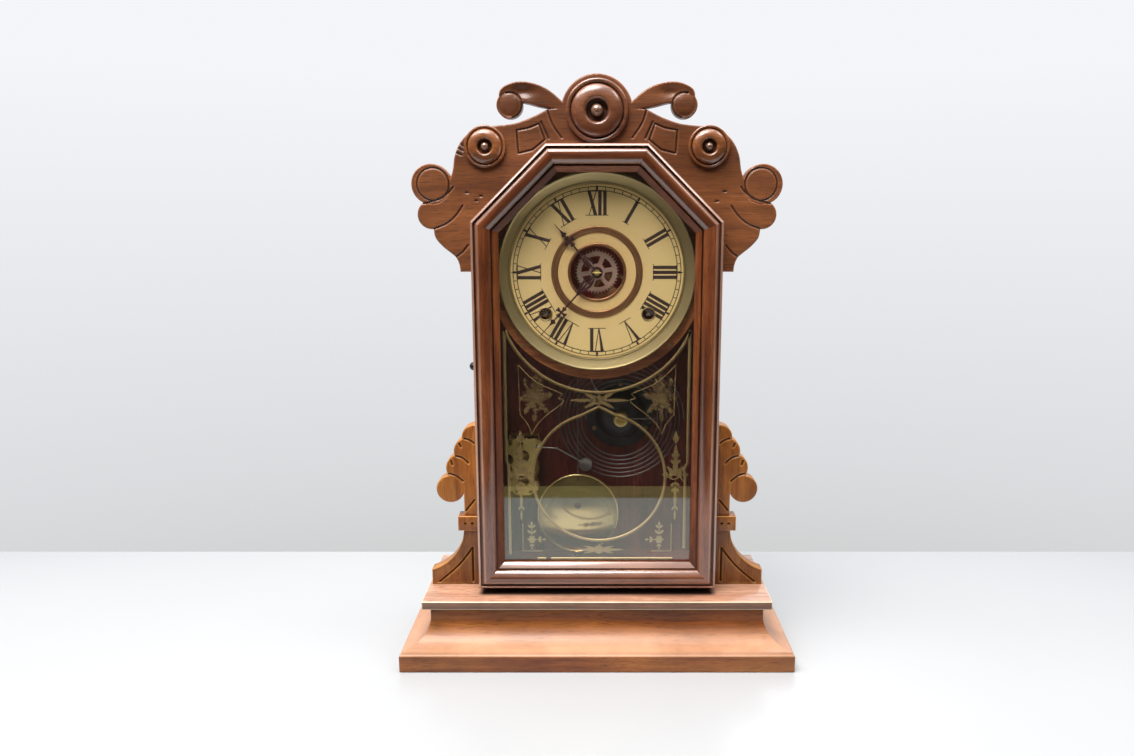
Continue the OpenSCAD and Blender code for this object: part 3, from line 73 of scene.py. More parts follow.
base_low, base_high = span("base_mouldings")
board_low, board_high = span("base_top_board")
door_high = span("door_glass")[1]
stile_low, stile_high = span("door_left_stile")
slope_high = span("door_slopes")[1]
crest_low, crest_high = span("crest_board")
case_high = span("backboard")[1]
ring_low, ring_high = span("dial_bezel")
bob_low, bob_high = span("pendulum_bob")
DIAL = (0.0, (ring_low[2] + ring_high[2]) / 2)
CASE_HALF, CASE_TOP, BOARD_TOP = case_high[0], case_high[2], board_high[2]
CORNER = 67.0
MITRE = math.tan(math.radians(22.5))
DOOR_FACE, DOOR_BACK = stile_low[1], stile_high[1]
DOOR_BOTTOM, DOOR_TOP = stile_low[2], slope_high[2]
CARVING_FRONT, CARVING_BACK = crest_low[1], crest_high[1]
GLASS_BACK = door_high[1]
DIAL_FRONT = ring_high[1] - 1.0
print("dial centre at height %.1f mm, door %.0f mm high" % (DIAL[1], DOOR_TOP - DOOR_BOTTOM))

# %% [markdown]
# ## Camera
# The camera stands a little above the middle of the clock and looks slightly down. A small
# sideways shift keeps the uprights upright while the clock sits right of the middle.

# %% Camera
SENSOR, PICTURE_WIDTH, FOCAL, SIDEWAYS = 36.0, 1134.0, 890.0, -30.0
EYE, LOOK_DOWN = (0.0, -0.8275, 0.4172), 10.48
lens_data = bpy.data.cameras.new("camera")
lens_data.sensor_width = SENSOR
lens_data.lens = FOCAL / PICTURE_WIDTH * SENSOR
lens_data.shift_x = SIDEWAYS / PICTURE_WIDTH
camera = bpy.data.objects.new("camera", lens_data)
camera.location = EYE
camera.rotation_euler = (math.radians(90.0 - LOOK_DOWN), 0.0, 0.0)
scene.collection.objects.link(camera)
scene.camera = camera
print("lens %.1f mm" % lens_data.lens)

# %% [markdown]
# ## Shader helpers
# `put` adds one node and fills or links its inputs, which keeps each material readable.
# Two node groups hold what many finishes share: `wood_figure` gives growth figure, fibres
# and pores along X, and `old_surface` gives blotches, specks and fine scratches.


# %% Node helpers
def put(tree, kind, inputs=None, **options):
    made = tree.nodes.new(kind)
    for key, value in options.items():
        setattr(made, key, value)
    for key, value in (inputs or {}).items():
        if isinstance(value, bpy.types.NodeSocket):
            tree.links.new(value, made.inputs[key])
        else:
            made.inputs[key].default_value = value
    return made


def maths(tree, operation, a, b=0.0, clamp=False):
    return put(tree, "ShaderNodeMath", {0: a, 1: b}, operation=operation, use_clamp=clamp).outputs[0]


def blend_colour(tree, factor, a, b, how="MIX"):
    made = put(tree, "ShaderNodeMix", {0: factor, 6: a, 7: b}, data_type="RGBA", blend_type=how)
    return made.outputs[2]


def ranged(tree, value, low, high, to_low=0.0, to_high=1.0):
    spots = {0: value, 1: low, 2: high, 3: to_low, 4: to_high}
    return put(tree, "ShaderNodeMapRange", spots, clamp=True).outputs[0]


def ramp(tree, value, stops):
    made = put(tree, "ShaderNodeValToRGB", {0: value})
    while len(made.color_ramp.elements) < len(stops):
        made.color_ramp.elements.new(0.5)
    for element, (place, tone) in zip(made.color_ramp.elements, stops):
        element.position = place
        element.color = (*tone, 1.0)
    return made.outputs[0]


def noise(tree, vector, scale, detail=2.0, rough=0.5, distortion=0.0):
    spots = {"Vector": vector, "Scale": scale, "Detail": detail, "Roughness": rough}
    return put(tree, "ShaderNodeTexNoise", {**spots, "Distortion": distortion}).outputs[0]


def stretched(tree, vector, factors):
    return put(tree, "ShaderNodeVectorMath", {0: vector, 1: factors}, operation="MULTIPLY").outputs[0]


def shaded(tree, tone, value):
    """A colour made darker or lighter by one value."""
    grey = put(tree, "ShaderNodeCombineXYZ", {0: value, 1: value, 2: value}).outputs[0]
    return blend_colour(tree, 1.0, tone, grey, "MULTIPLY")


def reach_of(tree, vector):
    """Distance from the Y axis of the coordinates, for rings seen from the front."""
    spot = put(tree, "ShaderNodeSeparateXYZ", {0: vector})
    squares = [maths(tree, "POWER", spot.outputs[i], 2.0) for i in (0, 2)]
    return maths(tree, "SQRT", maths(tree, "ADD", *squares))


def roughened(tree, bsdf, height, strength, distance):
    """Small relief from a height mask."""
    bump = put(tree, "ShaderNodeBump", {"Strength": strength, "Distance": distance, "Height": height})
    tree.links.new(bump.outputs[0], bsdf.inputs["Normal"])


# %% Shared node groups
def shader_group(name, inputs, outputs):
    tree = bpy.data.node_groups.new(name, "ShaderNodeTree")
    for title, kind, value in inputs:
        socket = tree.interface.new_socket(title, in_out="INPUT", socket_type=kind)
        if value is not None:
            socket.default_value = value
    for title in outputs:
        tree.interface.new_socket(title, in_out="OUTPUT", socket_type="NodeSocketFloat")
    return tree, tree.nodes.new("NodeGroupInput"), tree.nodes.new("NodeGroupOutput")


def build_wood_figure():
    tree, given, out = shader_group(
        "wood_figure",
        [("Vector", "NodeSocketVector", None), ("Coarse", "NodeSocketFloat", 1.0)],
        ["Figure", "Fibre", "Pores"],
    )
    base = put(tree, "ShaderNodeVectorMath", {0: given.outputs[0], "Scale": given.outputs[1]},
               operation="SCALE").outputs[0]
    warp = put(tree, "ShaderNodeTexNoise", {"Vector": base, "Scale": 9.0, "Detail": 1.0}).outputs[1]
    shift = put(tree, "ShaderNodeVectorMath", {0: warp, "Scale": 0.012}, operation="SCALE").outputs[0]
    grain = put(tree, "ShaderNodeVectorMath", {0: base, 1: shift}, operation="ADD").outputs[0]
    broad = noise(tree, stretched(tree, grain, (5.0, 55.0, 55.0)), 1.0, 4.0, 0.55, 0.5)
    streak = noise(tree, stretched(tree, grain, (4.0, 210.0, 210.0)), 1.0, 3.0, 0.6, 0.2)
    figure = maths(tree, "ADD", maths(tree, "MULTIPLY", broad, 0.62), maths(tree, "MULTIPLY", streak, 0.38))
    tree.links.new(ranged(tree, figure, 0.32, 0.68), out.inputs["Figure"])
    fibre = noise(tree, stretched(tree, grain, (22.0, 950.0, 950.0)), 1.0, 2.0, 0.6)
    tree.links.new(fibre, out.inputs["Fibre"])
    pore = noise(tree, stretched(tree, grain, (70.0, 1300.0, 1300.0)), 1.0, 1.0, 0.5)
    tree.links.new(ranged(tree, pore, 0.58, 0.7), out.inputs["Pores"])
    return tree


def build_old_surface():
    tree, given, out = shader_group(
        "old_surface",
        [("Vector", "NodeSocketVector", None), ("Coarse", "NodeSocketFloat", 1.0)],
        ["Blotch", "Speck", "Scratch"],
    )
    base = put(tree, "ShaderNodeVectorMath", {0: given.outputs[0], "Scale": given.outputs[1]},
               operation="SCALE").outputs[0]
    blotch = noise(tree, base, 16.0, 4.0, 0.6, 0.3)
    tree.links.new(ranged(tree, blotch, 0.3, 0.7), out.inputs["Blotch"])
    speck = noise(tree, base, 620.0, 2.0, 0.5)
    tree.links.new(ranged(tree, speck, 0.6, 0.74), out.inputs["Speck"])
    scratch = noise(tree, stretched(tree, base, (60.0, 900.0, 1500.0)), 1.0, 2.0, 0.6, 1.2)
    tree.links.new(ranged(tree, scratch, 0.6, 0.7), out.inputs["Scratch"])
    return tree


WOOD_FIGURE = build_wood_figure()
OLD_SURFACE = build_old_surface()
print("groups:", WOOD_FIGURE.name, OLD_SURFACE.name)

# %% [markdown]
# ## Wood finishes
# Every walnut part had the same stain and shellac, but the cut of the wood, the light and
# a century of hands changed each one. One recipe makes them all. Three marks painted on the
# meshes steer it. The first darkens the bottoms of grooves and hollows, partly as dirt and
# partly as painted shade. The second pales worn edges and also paints highlights on faces
# that catch the light. `dull` takes the shine off a face whose shellac has gone.


# %% Wood recipe
def blank(name):
    material = bpy.data.materials.new(name)
    material.use_nodes = True
    tree = material.node_tree
    return material, tree, tree.nodes["Principled BSDF"]


def place_of(tree, turn=(0.0, 0.0, 0.0), shift=(0.0, 0.0, 0.0), uv=False):
    """Coordinates whose X runs along the grain."""
    if uv:
        source = put(tree, "ShaderNodeUVMap", uv_map="Grain").outputs[0]
    else:
        source = put(tree, "ShaderNodeTexCoord").outputs["Object"]
    return put(tree, "ShaderNodeMapping", {0: source, 1: shift, 2: turn}).outputs[0]


def mark(tree, name):
    return put(tree, "ShaderNodeAttribute", attribute_name=name, attribute_type="GEOMETRY").outputs["Fac"]


def shared(tree, group, vector, coarse=1.0):
    made = tree.nodes.new("ShaderNodeGroup")
    made.node_tree = group
    tree.links.new(vector, made.inputs[0])
    made.inputs[1].default_value = coarse
    return made.outputs


def wood(name, dark, middle, light, along="X", uv=False, rough=0.36, shine=0.8, gloss=0.26,
         low_tone=None, back_tone=None, painted_shadow=None, worn_and_lit_tone=None, mirror=0.45, body=1.5):
    """low_tone: (from height, to height, tint of what is lower); back_tone: the same in depth,
    tint of what is behind; painted_shadow: (half width, where it starts in depth) of a place
    painted dark as a shadow, in metres; worn_and_lit_tone: tone of worn wood and of painted
    highlights; body: how strongly thick old shellac mirrors."""
    material, tree, bsdf = blank(name)
    turn = {"X": (0, 0, 0), "Z": (0, math.pi / 2, 0), "Y": (0, 0, math.pi / 2)}[along]
    vector = place_of(tree, turn, uv=uv)
    figure, fibre, pores = shared(tree, WOOD_FIGURE, vector)
    blotch, speck, scratch = shared(tree, OLD_SURFACE, vector)
    tone = ramp(tree, figure, [(0.0, dark), (0.5, middle), (1.0, light)])
    fibres = ranged(tree, fibre, 0.3, 0.7, 0.8, 1.12)
    patch = ranged(tree, blotch, 0.0, 1.0, 0.72, 1.18)
    tone = shaded(tree, shaded(tree, tone, fibres), patch)
    for axis, fade in ((2, low_tone), (1, back_tone)):
        if fade:
            depth = put(tree, "ShaderNodeSeparateXYZ",
                        {0: put(tree, "ShaderNodeTexCoord").outputs["Object"]}).outputs[axis]
            faded = blend_colour(tree, 1.0, tone, (*fade[2], 1), "MULTIPLY")
            inside = ranged(tree, depth, fade[0], fade[1], 2.0 - axis, axis - 1.0)
            tone = blend_colour(tree, inside, faded, tone)
    tone = blend_colour(tree, maths(tree, "MULTIPLY", pores, 0.55), tone, (*[c * 0.3 for c in dark], 1))
    # The second mark blends in a pale tone: worn wood, and painted highlights where the mark sits on faces
    # that catch the light.
    rubbed_and_lit = maths(tree, "MULTIPLY", mark(tree, "wear_and_painted_light"), ranged(tree, blotch, 0.2, 0.8, 0.5, 0.75))
    tone = blend_colour(tree, rubbed_and_lit, tone, (*(worn_and_lit_tone or [min(1.0, c * 2.1) for c in light]), 1))
    # The first mark darkens grooves, as dirt and as painted shade; the optional box adds a painted shadow on
    # the board under the door.
    dirt_and_shade = mark(tree, "dirt_and_shade")
    if painted_shadow:
        spot = put(tree, "ShaderNodeSeparateXYZ", {0: place_of(tree)}).outputs
        inside = ranged(tree, maths(tree, "ABSOLUTE", spot[0]), painted_shadow[0], painted_shadow[0] + 0.006, 1.0, 0.0)
        inside = maths(tree, "MULTIPLY", inside, ranged(tree, spot[1], painted_shadow[1], painted_shadow[1] + 0.005))
        dirt_and_shade = maths(tree, "MAXIMUM", dirt_and_shade, inside)
    tone = blend_colour(tree, maths(tree, "MULTIPLY", dirt_and_shade, 0.92), tone, (0.012, 0.006, 0.004, 1))
    tree.links.new(tone, bsdf.inputs["Base Color"])
    worn = maths(tree, "ADD", ranged(tree, blotch, 0.0, 1.0, rough, rough + 0.16),
                 maths(tree, "MULTIPLY", maths(tree, "ADD", pores, dirt_and_shade), 0.22))
    worn = maths(tree, "ADD", worn, maths(tree, "MULTIPLY", scratch, 0.08), True)
    tree.links.new(worn, bsdf.inputs["Roughness"])
    relief = maths(tree, "SUBTRACT", maths(tree, "MULTIPLY", fibre, 0.35), pores)
    relief = maths(tree, "SUBTRACT", relief, maths(tree, "MULTIPLY", speck, 0.25))
    roughened(tree, bsdf, relief, 0.3, 0.00012)
    varnish = ranged(tree, maths(tree, "MAXIMUM", dirt_and_shade, mark(tree, "dull")), 0.0, 1.0, shine, shine * 0.1)
    tree.links.new(varnish, bsdf.inputs["Coat Weight"])
    bsdf.inputs["Coat Roughness"].default_value = gloss
    bsdf.inputs["Coat IOR"].default_value = body
    bsdf.inputs["Specular IOR Level"].default_value = mirror
    return material


# %% Woods of the clock
# The frame's pale tone is the colour of worn shellac and of the painted highlights on its bevels and roll.
walnut_frame = wood("walnut_frame", (0.06, 0.014, 0.004), (0.18, 0.042, 0.01), (0.36, 0.11, 0.028),
                    uv=True, shine=1.0, gloss=0.14, mirror=0.3, body=1.95, worn_and_lit_tone=(0.72, 0.42, 0.3))
# The base's pale tone is the painted highlight on the lower half of the cove.
walnut_base = wood("walnut_base", (0.22, 0.052, 0.012), (0.42, 0.128, 0.022), (0.58, 0.22, 0.04),
                   uv=True, rough=0.4, shine=0.45, gloss=0.3, low_tone=(0.014, 0.019, (0.78, 0.8, 1.05)),
                   worn_and_lit_tone=(0.78, 0.44, 0.27), mirror=0.3)
# The top board's colours are far paler than the other walnut: a painted sheen of the ceiling light on its
# top face. The low tint darkens its front edge back to wood, and the box under the door is a painted shadow.
walnut_top = wood("walnut_top", (0.4, 0.17, 0.095), (0.64, 0.33, 0.205), (0.82, 0.5, 0.34), rough=0.45,
                  painted_shadow=(0.108, -0.037), shine=1.0, gloss=0.2, mirror=0.3,
                  low_tone=(0.0602, 0.0608, (0.34, 0.3, 0.26)))
walnut_crest = wood("walnut_crest", (0.12, 0.036, 0.012), (0.185, 0.058, 0.018), (0.26, 0.085, 0.026),
                    shine=0.5, low_tone=(0.42, 0.49, (1.3, 1.34, 1.3)))
walnut_bracket = wood("walnut_bracket", (0.24, 0.06, 0.006), (0.44, 0.135, 0.012), (0.56, 0.21, 0.03),
                      along="Z", shine=0.35, low_tone=(0.1, 0.16, (0.6, 0.68, 1.6)))
walnut_turned = wood("walnut_turned", (0.1, 0.03, 0.012), (0.2, 0.064, 0.024), (0.32, 0.11, 0.044),
                     rough=0.3, shine=1.0, gloss=0.24, body=1.7)
walnut_rosette = wood("walnut_rosette", (0.14, 0.04, 0.01), (0.29, 0.09, 0.022), (0.42, 0.15, 0.045),
                      rough=0.3, shine=1.0, gloss=0.24, body=1.7)
walnut_button = wood("walnut_button", (0.14, 0.065, 0.038), (0.26, 0.13, 0.08), (0.36, 0.2, 0.13),
                     rough=0.22, shine=1.0, gloss=0.16, body=1.95)
case_side_wood = wood("case_side_wood", (0.06, 0.02, 0.009), (0.13, 0.045, 0.018),
                      (0.2, 0.075, 0.032), along="Z", rough=0.5, shine=0.15)
plain_wood = wood("plain_wood", (0.12, 0.06, 0.03), (0.22, 0.12, 0.06), (0.32, 0.19, 0.1),
                  rough=0.6, shine=0.0)
maroon_stain = wood("maroon_stain", (0.12, 0.017, 0.015), (0.2, 0.032, 0.025), (0.26, 0.05, 0.036),
                    along="Z", rough=0.5, shine=0.1, back_tone=(0.0635, 0.065, (1.1, 4.2, 2.6)))
dial_board_wood = wood("dial_board_wood", (0.26, 0.075, 0.022), (0.45, 0.14, 0.04), (0.58, 0.22, 0.07),
                       rough=0.4, shine=0.25)
print("woods made:", sum(m.name.startswith("walnut") for m in bpy.data.materials), "of walnut")

# %% [markdown]
# ## Metals, paint and glass
# The brass is spun or stamped and has gone dull in patches. Steel is drawn wire, the gong
# stands on black iron. The glass has to let the room light through to the dial: a ray that
# only looks for a lamp meets clear nothing, while the eye still sees a real pane.


# %% Metal recipe
def metal(name, bright, dull, rough=0.25, tarnish=0.6, along="X", coarse=1.0, grit=1.0, darker_away_from=None):
    """darker_away_from: ((x, z) of a bright middle, where darkening starts, where it is full) in metres."""
    material, tree, bsdf = blank(name)
    turn = {"X": (0, 0, 0), "Z": (0, math.pi / 2, 0)}[along]
    vector = place_of(tree, turn)
    blotch, speck, scratch = shared(tree, OLD_SURFACE, vector, coarse)
    stain_and_shade = maths(tree, "ADD", maths(tree, "MULTIPLY", blotch, tarnish),
                  maths(tree, "MULTIPLY", speck, 0.3 * grit), True)
    stain_and_shade = maths(tree, "MAXIMUM", stain_and_shade, mark(tree, "dirt_and_shade"))
    # Beyond a distance from a given middle the metal turns darker and duller.
    if darker_away_from:
        middle, near, far = darker_away_from
        reach = reach_of(tree, place_of(tree, shift=(-middle[0], 0.0, -middle[1])))
        stain_and_shade = maths(tree, "MAXIMUM", stain_and_shade, ranged(tree, reach, near, far))
    tree.links.new(blend_colour(tree, stain_and_shade, (*bright, 1), (*dull, 1)), bsdf.inputs["Base Color"])
    tree.links.new(ranged(tree, stain_and_shade, 0.0, 1.0, rough, rough + 0.25), bsdf.inputs["Roughness"])
    roughened(tree, bsdf, maths(tree, "ADD", scratch, speck), 0.2 * grit, 0.00005 * grit)
    bsdf.inputs["Metallic"].default_value = 1.0
    return material


def painted(name, tone, shade, rough=0.4, coarse=1.0):
    material, tree, bsdf = blank(name)
    blotch, speck, scratch = shared(tree, OLD_SURFACE, place_of(tree), coarse)
    wear_and_painted_light = maths(tree, "ADD", maths(tree, "MULTIPLY", blotch, 0.6),
                 maths(tree, "MULTIPLY", speck, 0.4), True)
    wear_and_painted_light = maths(tree, "MAXIMUM", wear_and_painted_light, mark(tree, "dirt_and_shade"))
    tree.links.new(blend_colour(tree, wear_and_painted_light, (*tone, 1), (*shade, 1)), bsdf.inputs["Base Color"])
    tree.links.new(ranged(tree, wear_and_painted_light, 0.0, 1.0, rough, rough + 0.2), bsdf.inputs["Roughness"])
    roughened(tree, bsdf, maths(tree, "SUBTRACT", speck, scratch), 0.15, 0.00005)
    return material


# %% Metals and paints of the clock
# The bezel is painted darker to the right and below: painted shade standing for the room in its reflection.
bezel_brass = metal("bezel_brass", (0.64, 0.53, 0.27), (0.26, 0.195, 0.092), 0.3, 0.12, grit=0.01,
                    darker_away_from=((-0.09, 0.43), 0.05, 0.21))
# The bob is painted darker and duller towards its rim and most at its top: painted shade for the dark room
# mirrored in its dome.
bob_brass = metal("bob_brass", (0.8, 0.62, 0.26), (0.2, 0.15, 0.055), 0.12, 0.15, grit=0.02,
                  darker_away_from=((-0.0187, 0.116), 0.012, 0.05))
# The bead takes a brighter brass without that darkening, a painted highlight along the rim.
rim_brass = metal("rim_brass", (0.85, 0.66, 0.28), (0.5, 0.36, 0.14), 0.14, 0.3, grit=0.02)
works_brass = metal("works_brass", (0.88, 0.7, 0.26), (0.5, 0.34, 0.1), 0.34, 0.5, coarse=1.6)
# Darkened brass for the alarm wheel: painted shade, so that the windows of the cage show dark gaps.
dark_brass = metal("dark_brass", (0.3, 0.2, 0.07), (0.14, 0.09, 0.035), 0.4, 0.6, coarse=1.6)
wheel_bronze = metal("wheel_bronze", (0.78, 0.55, 0.44), (0.5, 0.3, 0.23), 0.4, 0.6, coarse=1.6)
copper_ring = metal("copper_ring", (0.42, 0.21, 0.1), (0.2, 0.09, 0.045), 0.35, 0.5)
# The gilt turns darker and duller away from a point low in the middle of the glass.
gilt = metal("gilt", (0.58, 0.4, 0.19), (0.27, 0.19, 0.085), 0.52, 0.35, coarse=2.0,
             darker_away_from=((0.0, 0.085), 0.07, 0.13))
dull_gilt = metal("dull_gilt", (0.28, 0.19, 0.085), (0.12, 0.08, 0.038), 0.6, 0.9, coarse=3.0)
drawn_steel = metal("drawn_steel", (0.5, 0.47, 0.44), (0.22, 0.18, 0.15), 0.35, 0.6, "Z")
blued_steel = metal("blued_steel", (0.16, 0.17, 0.22), (0.07, 0.06, 0.07), 0.35, 0.6)
gong_steel = metal("gong_steel", (0.21, 0.18, 0.17), (0.09, 0.07, 0.065), 0.4, 0.6)
hinge_bronze = metal("hinge_bronze", (0.42, 0.26, 0.13), (0.17, 0.09, 0.045), 0.4, 0.6)
black_iron = painted("black_iron", (0.035, 0.035, 0.042), (0.012, 0.011, 0.013), 0.35)
hand_lacquer = painted("hand_lacquer", (0.06, 0.02, 0.022), (0.025, 0.009, 0.01), 0.3)
catch_lacquer = painted("catch_lacquer", (0.02, 0.012, 0.01), (0.008, 0.006, 0.005), 0.28)
# The front plate's lacquer is painted brighter than real lacquer: painted light for the shaded hollow seen
# round the hour wheel.
maroon_lacquer = painted("maroon_lacquer", (0.6, 0.06, 0.05), (0.36, 0.04, 0.033), 0.35)
print_ink = painted("print_ink", (0.035, 0.015, 0.012), (0.07, 0.035, 0.02), 0.55, 3.0)


# %% Dial sheet
def dial_paint():
    """Cream that has gone brown towards its rim."""
    material, tree, bsdf = blank("dial_cream")
    vector = place_of(tree, shift=(0.0, 0.0, -DIAL[1] * MM))
    blotch, speck = shared(tree, OLD_SURFACE, vector, 1.5)[:2]
    rim = maths(tree, "ADD", reach_of(tree, vector), ranged(tree, blotch, 0.0, 1.0, -0.006, 0.006))
    tone = ramp(tree, ranged(tree, rim, 0.03, 0.086),
                [(0.0, (0.95, 0.64, 0.26)), (0.45, (1.0, 0.72, 0.31)), (0.85, (1.0, 0.73, 0.3)),
                 (1.0, (0.97, 0.69, 0.27))])
    tone = blend_colour(tree, maths(tree, "MULTIPLY", speck, 0.35), tone, (0.3, 0.18, 0.07, 1))
    tree.links.new(tone, bsdf.inputs["Base Color"])
    tree.links.new(ranged(tree, blotch, 0.0, 1.0, 0.42, 0.6), bsdf.inputs["Roughness"])
    roughened(tree, bsdf, blotch, 0.1, 0.00005)
    return material


dial_cream = dial_paint()


# %% Window glass
def window_glass():
    material, tree, bsdf = blank("old_window_glass")
    blotch = shared(tree, OLD_SURFACE, place_of(tree), 0.5)[0]
    tint = blend_colour(tree, blotch, (0.98, 0.985, 0.975, 1), (0.95, 0.965, 0.95, 1))
    tree.links.new(tint, bsdf.inputs["Base Color"])
    bsdf.inputs["Roughness"].default_value = 0.0
    bsdf.inputs["Metallic"].default_value = 0.0
    bsdf.inputs["Transmission Weight"].default_value = 1.0
    bsdf.inputs["IOR"].default_value = 1.92
    bsdf.inputs["Specular Tint"].default_value = (0.9, 1.0, 0.88, 1.0)
    path = put(tree, "ShaderNodeLightPath")
    clear = put(tree, "ShaderNodeBsdfTransparent", {0: (0.96, 0.97, 0.96, 1)})
    seeking = maths(tree, "MAXIMUM", path.outputs["Is Shadow Ray"], path.outputs["Is Diffuse Ray"])
    pane = put(tree, "ShaderNodeMixShader", {0: seeking, 1: bsdf.outputs[0], 2: clear.outputs[0]})
    tree.links.new(pane.outputs[0], tree.nodes["Material Output"].inputs["Surface"])
    return material


window = window_glass()
print("finishes made:", len(bpy.data.materials))

# %% [markdown]
# ## Dress the solids that stay
# The movement, the hinges and the case boards keep their solid shapes, because they are small
# or plain. Each gets the finish of its metal or board. A solid is never moved; only its
# material changes.

# %% Finishes of the solids
finish_of = {
    case_side_wood: ["case_left_side", "case_right_side"],
    plain_wood: ["base_back_rail", "case_roof_boards", "movement_blocks"],
    maroon_stain: ["case_floor", "backboard"],
    dial_board_wood: ["dial_board"],
    walnut_frame: ["glass_beads"],
    hinge_bronze: ["hinge_case_leaves", "hinge_door_leaves", "fixing_screws", "minute_wheel"],
    works_brass: ["back_plate", "plate_pillars", "suspension_cock",
                  "time_great_wheel", "second_wheel", "centre_wheel",
                  "third_wheel", "escape_wheel", "strike_great_wheel", "count_wheel",
                  "strike_pin_wheel", "strike_fly", "centre_arbor"],
    dark_brass: ["alarm_wheel"],
    bob_brass: ["pendulum_bob"],
    wheel_bronze: ["hour_wheel"],
    maroon_lacquer: ["front_plate"],
    blued_steel: ["mainsprings"],
    black_iron: ["gong_base"],
    gong_steel: ["gong_coil", "pendulum_rod"],
    window: ["door_glass"],
    catch_lacquer: ["catch_button"],
    drawn_steel: ["time_winding_arbor", "strike_winding_arbor", "verge", "strike_hammer", "alarm_hammer"],
}
dressed = 0
for finish, names in finish_of.items():
    for name in names:
        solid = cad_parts[name]
        solid.data.materials.clear()
        solid.data.materials.append(finish)
        dressed += 1
print("solids dressed:", dressed)

# %% [markdown]
# ## Mesh helpers
# A piece is a list of points in millimetres and a list of faces. `make` turns it into an
# object, with the `Grain` map and the painted marks where a finish needs them, and `fit`
# hangs it on its body, gives it its finish and hides the solid that it stands for.


# %% Make and fit
def face_outwards(mesh):
    work = bmesh.new()
    work.from_mesh(mesh)
    bmesh.ops.recalc_face_normals(work, faces=work.faces[:])
    work.to_mesh(mesh)
    work.free()


def soften(mesh, sharp):
    """Smooth shading with every edge steeper than `sharp` degrees left crisp."""
    mesh.shade_smooth()
    mesh.set_sharp_from_angle(angle=math.radians(sharp))


def show(name, mesh):
    piece = bpy.data.objects.new(name, mesh)
    scene.collection.objects.link(piece)
    return piece


def make(name, points, faces, grain=None, marks=None, sharp=38.0):
    mesh = bpy.data.meshes.new(name)
    mesh.from_pydata([(x * MM, y * MM, z * MM) for x, y, z in points], [], faces)
    if grain is not None:
        layer = mesh.uv_layers.new(name="Grain")
        for loop in mesh.loops:
            layer.data[loop.index].uv = grain[loop.vertex_index]
    for key, values in (marks or {}).items():
        mesh.attributes.new(key, "FLOAT", "POINT").data.foreach_set("value", list(map(float, values)))
    face_outwards(mesh)
    soften(mesh, sharp)
    return show(name, mesh)


def fit(piece, finish, body, slot, *nodes):
    piece.data.materials.clear()
    piece.data.materials.append(finish)
    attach(piece, body)
    if nodes:
        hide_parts(*nodes)
    piece.data.calc_loop_triangles()
    print("%-22s %6d triangles on %s" % (piece.name, len(piece.data.loop_triangles), body))
    return piece


def prism(flat, front, back):
    """A flat outline of (x, z) made solid between two depths."""
    n = len(flat)
    faces = [list(range(n)), list(range(2 * n - 1, n - 1, -1))]
    faces += [[i, i + n, (i + 1) % n + n, (i + 1) % n] for i in range(n)]
    return [(x, y, z) for y in (front, back) for x, z in flat], faces, None, {}


def join_lists(parts):
    """Several (points, faces, grain, marks) lists as one."""
    points, faces, grain, marks = [], [], [], {}
    for p, f, g, m in parts:
        start = len(points)
        points += list(p)
        faces += [[i + start for i in face] for face in f]
        grain += list(g) if g is not None else [(0.0, 0.0)] * len(p)
        for key, values in m.items():
            marks.setdefault(key, []).extend(values)
    return points, faces, grain, marks


# %% [markdown]
# ## Mitred members
# A frame or moulding is one section run along each side and cut at the corners. Each side
# is a piece of wood of its own, so the `Grain` map runs along it and starts somewhere else
# on every member. That is what makes the mitres show as they do on a real frame.


# %% Mitred member
def member(section, start_at, end_at, seed, marks):
    """One side: start_at(i) and end_at(i) give both ends of section point i."""
    count = len(section)
    points = [start_at(i) for i in range(count)] + [end_at(i) for i in range(count)]
    faces = [[i, (i + 1) % count, (i + 1) % count + count, i + count] for i in range(count)]
    faces += [list(range(count)), list(range(count, 2 * count))]
    axis = Vector(end_at(0)) - Vector(start_at(0))
    axis.normalize()
    across, travel = [0.0], 0.0
    for i in range(1, count):
        travel += math.dist(section[i], section[i - 1])
        across.append(travel)
    grain = [((Vector(p).dot(axis) + 410.0 * seed) * MM, (across[i % count] + 97.0 * seed) * MM)
             for i, p in enumerate(points)]
    return points, faces, grain, {key: list(values) * 2 for key, values in marks.items()}


def smooth(points, steps):
    """Even curve through the points, as the solids have it."""
    curve = []
    for i in range(len(points) - 1):
        a, b, c, d = (np.array(points[min(max(k, 0), len(points) - 1)], float) for k in range(i - 1, i + 3))
        for t in np.arange(steps) / steps:
            curve.append(tuple(0.5 * (2 * b + (c - a) * t + (2 * a - 5 * b + 4 * c - d) * t ** 2
                                      + (3 * b - a - 3 * c + d) * t ** 3)))
    return curve + [tuple(points[-1])]


def arc(cx, cy, rx, ry, a0, a1, steps):
    """Points on an ellipse between two angles in degrees."""
    turns = [math.radians(a0 + (a1 - a0) * i / steps) for i in range(steps + 1)]
    return [(cx + rx * math.cos(t), cy + ry * math.sin(t)) for t in turns]


# %% [markdown]
# ## Door frame
# From its outer edge the frame steps through a thin bevel, a dark groove, a broad roll, a
# second groove and a last bevel that falls back to the glass. Six members meet in mitres. The
# stile beside the hinges is cut out for the hinge leaves, as the solid is.


# %% Door section and corners
def door_corner(i, inset):
    left, right = -CASE_HALF + inset, CASE_HALF - inset
    slope = CORNER + MITRE * inset
    return [(left, DOOR_BOTTOM + inset), (right, DOOR_BOTTOM + inset), (right, DOOR_TOP - slope),
            (CASE_HALF - slope, DOOR_TOP - inset), (slope - CASE_HALF, DOOR_TOP - inset),
            (left, DOOR_TOP - slope)][i % 6]


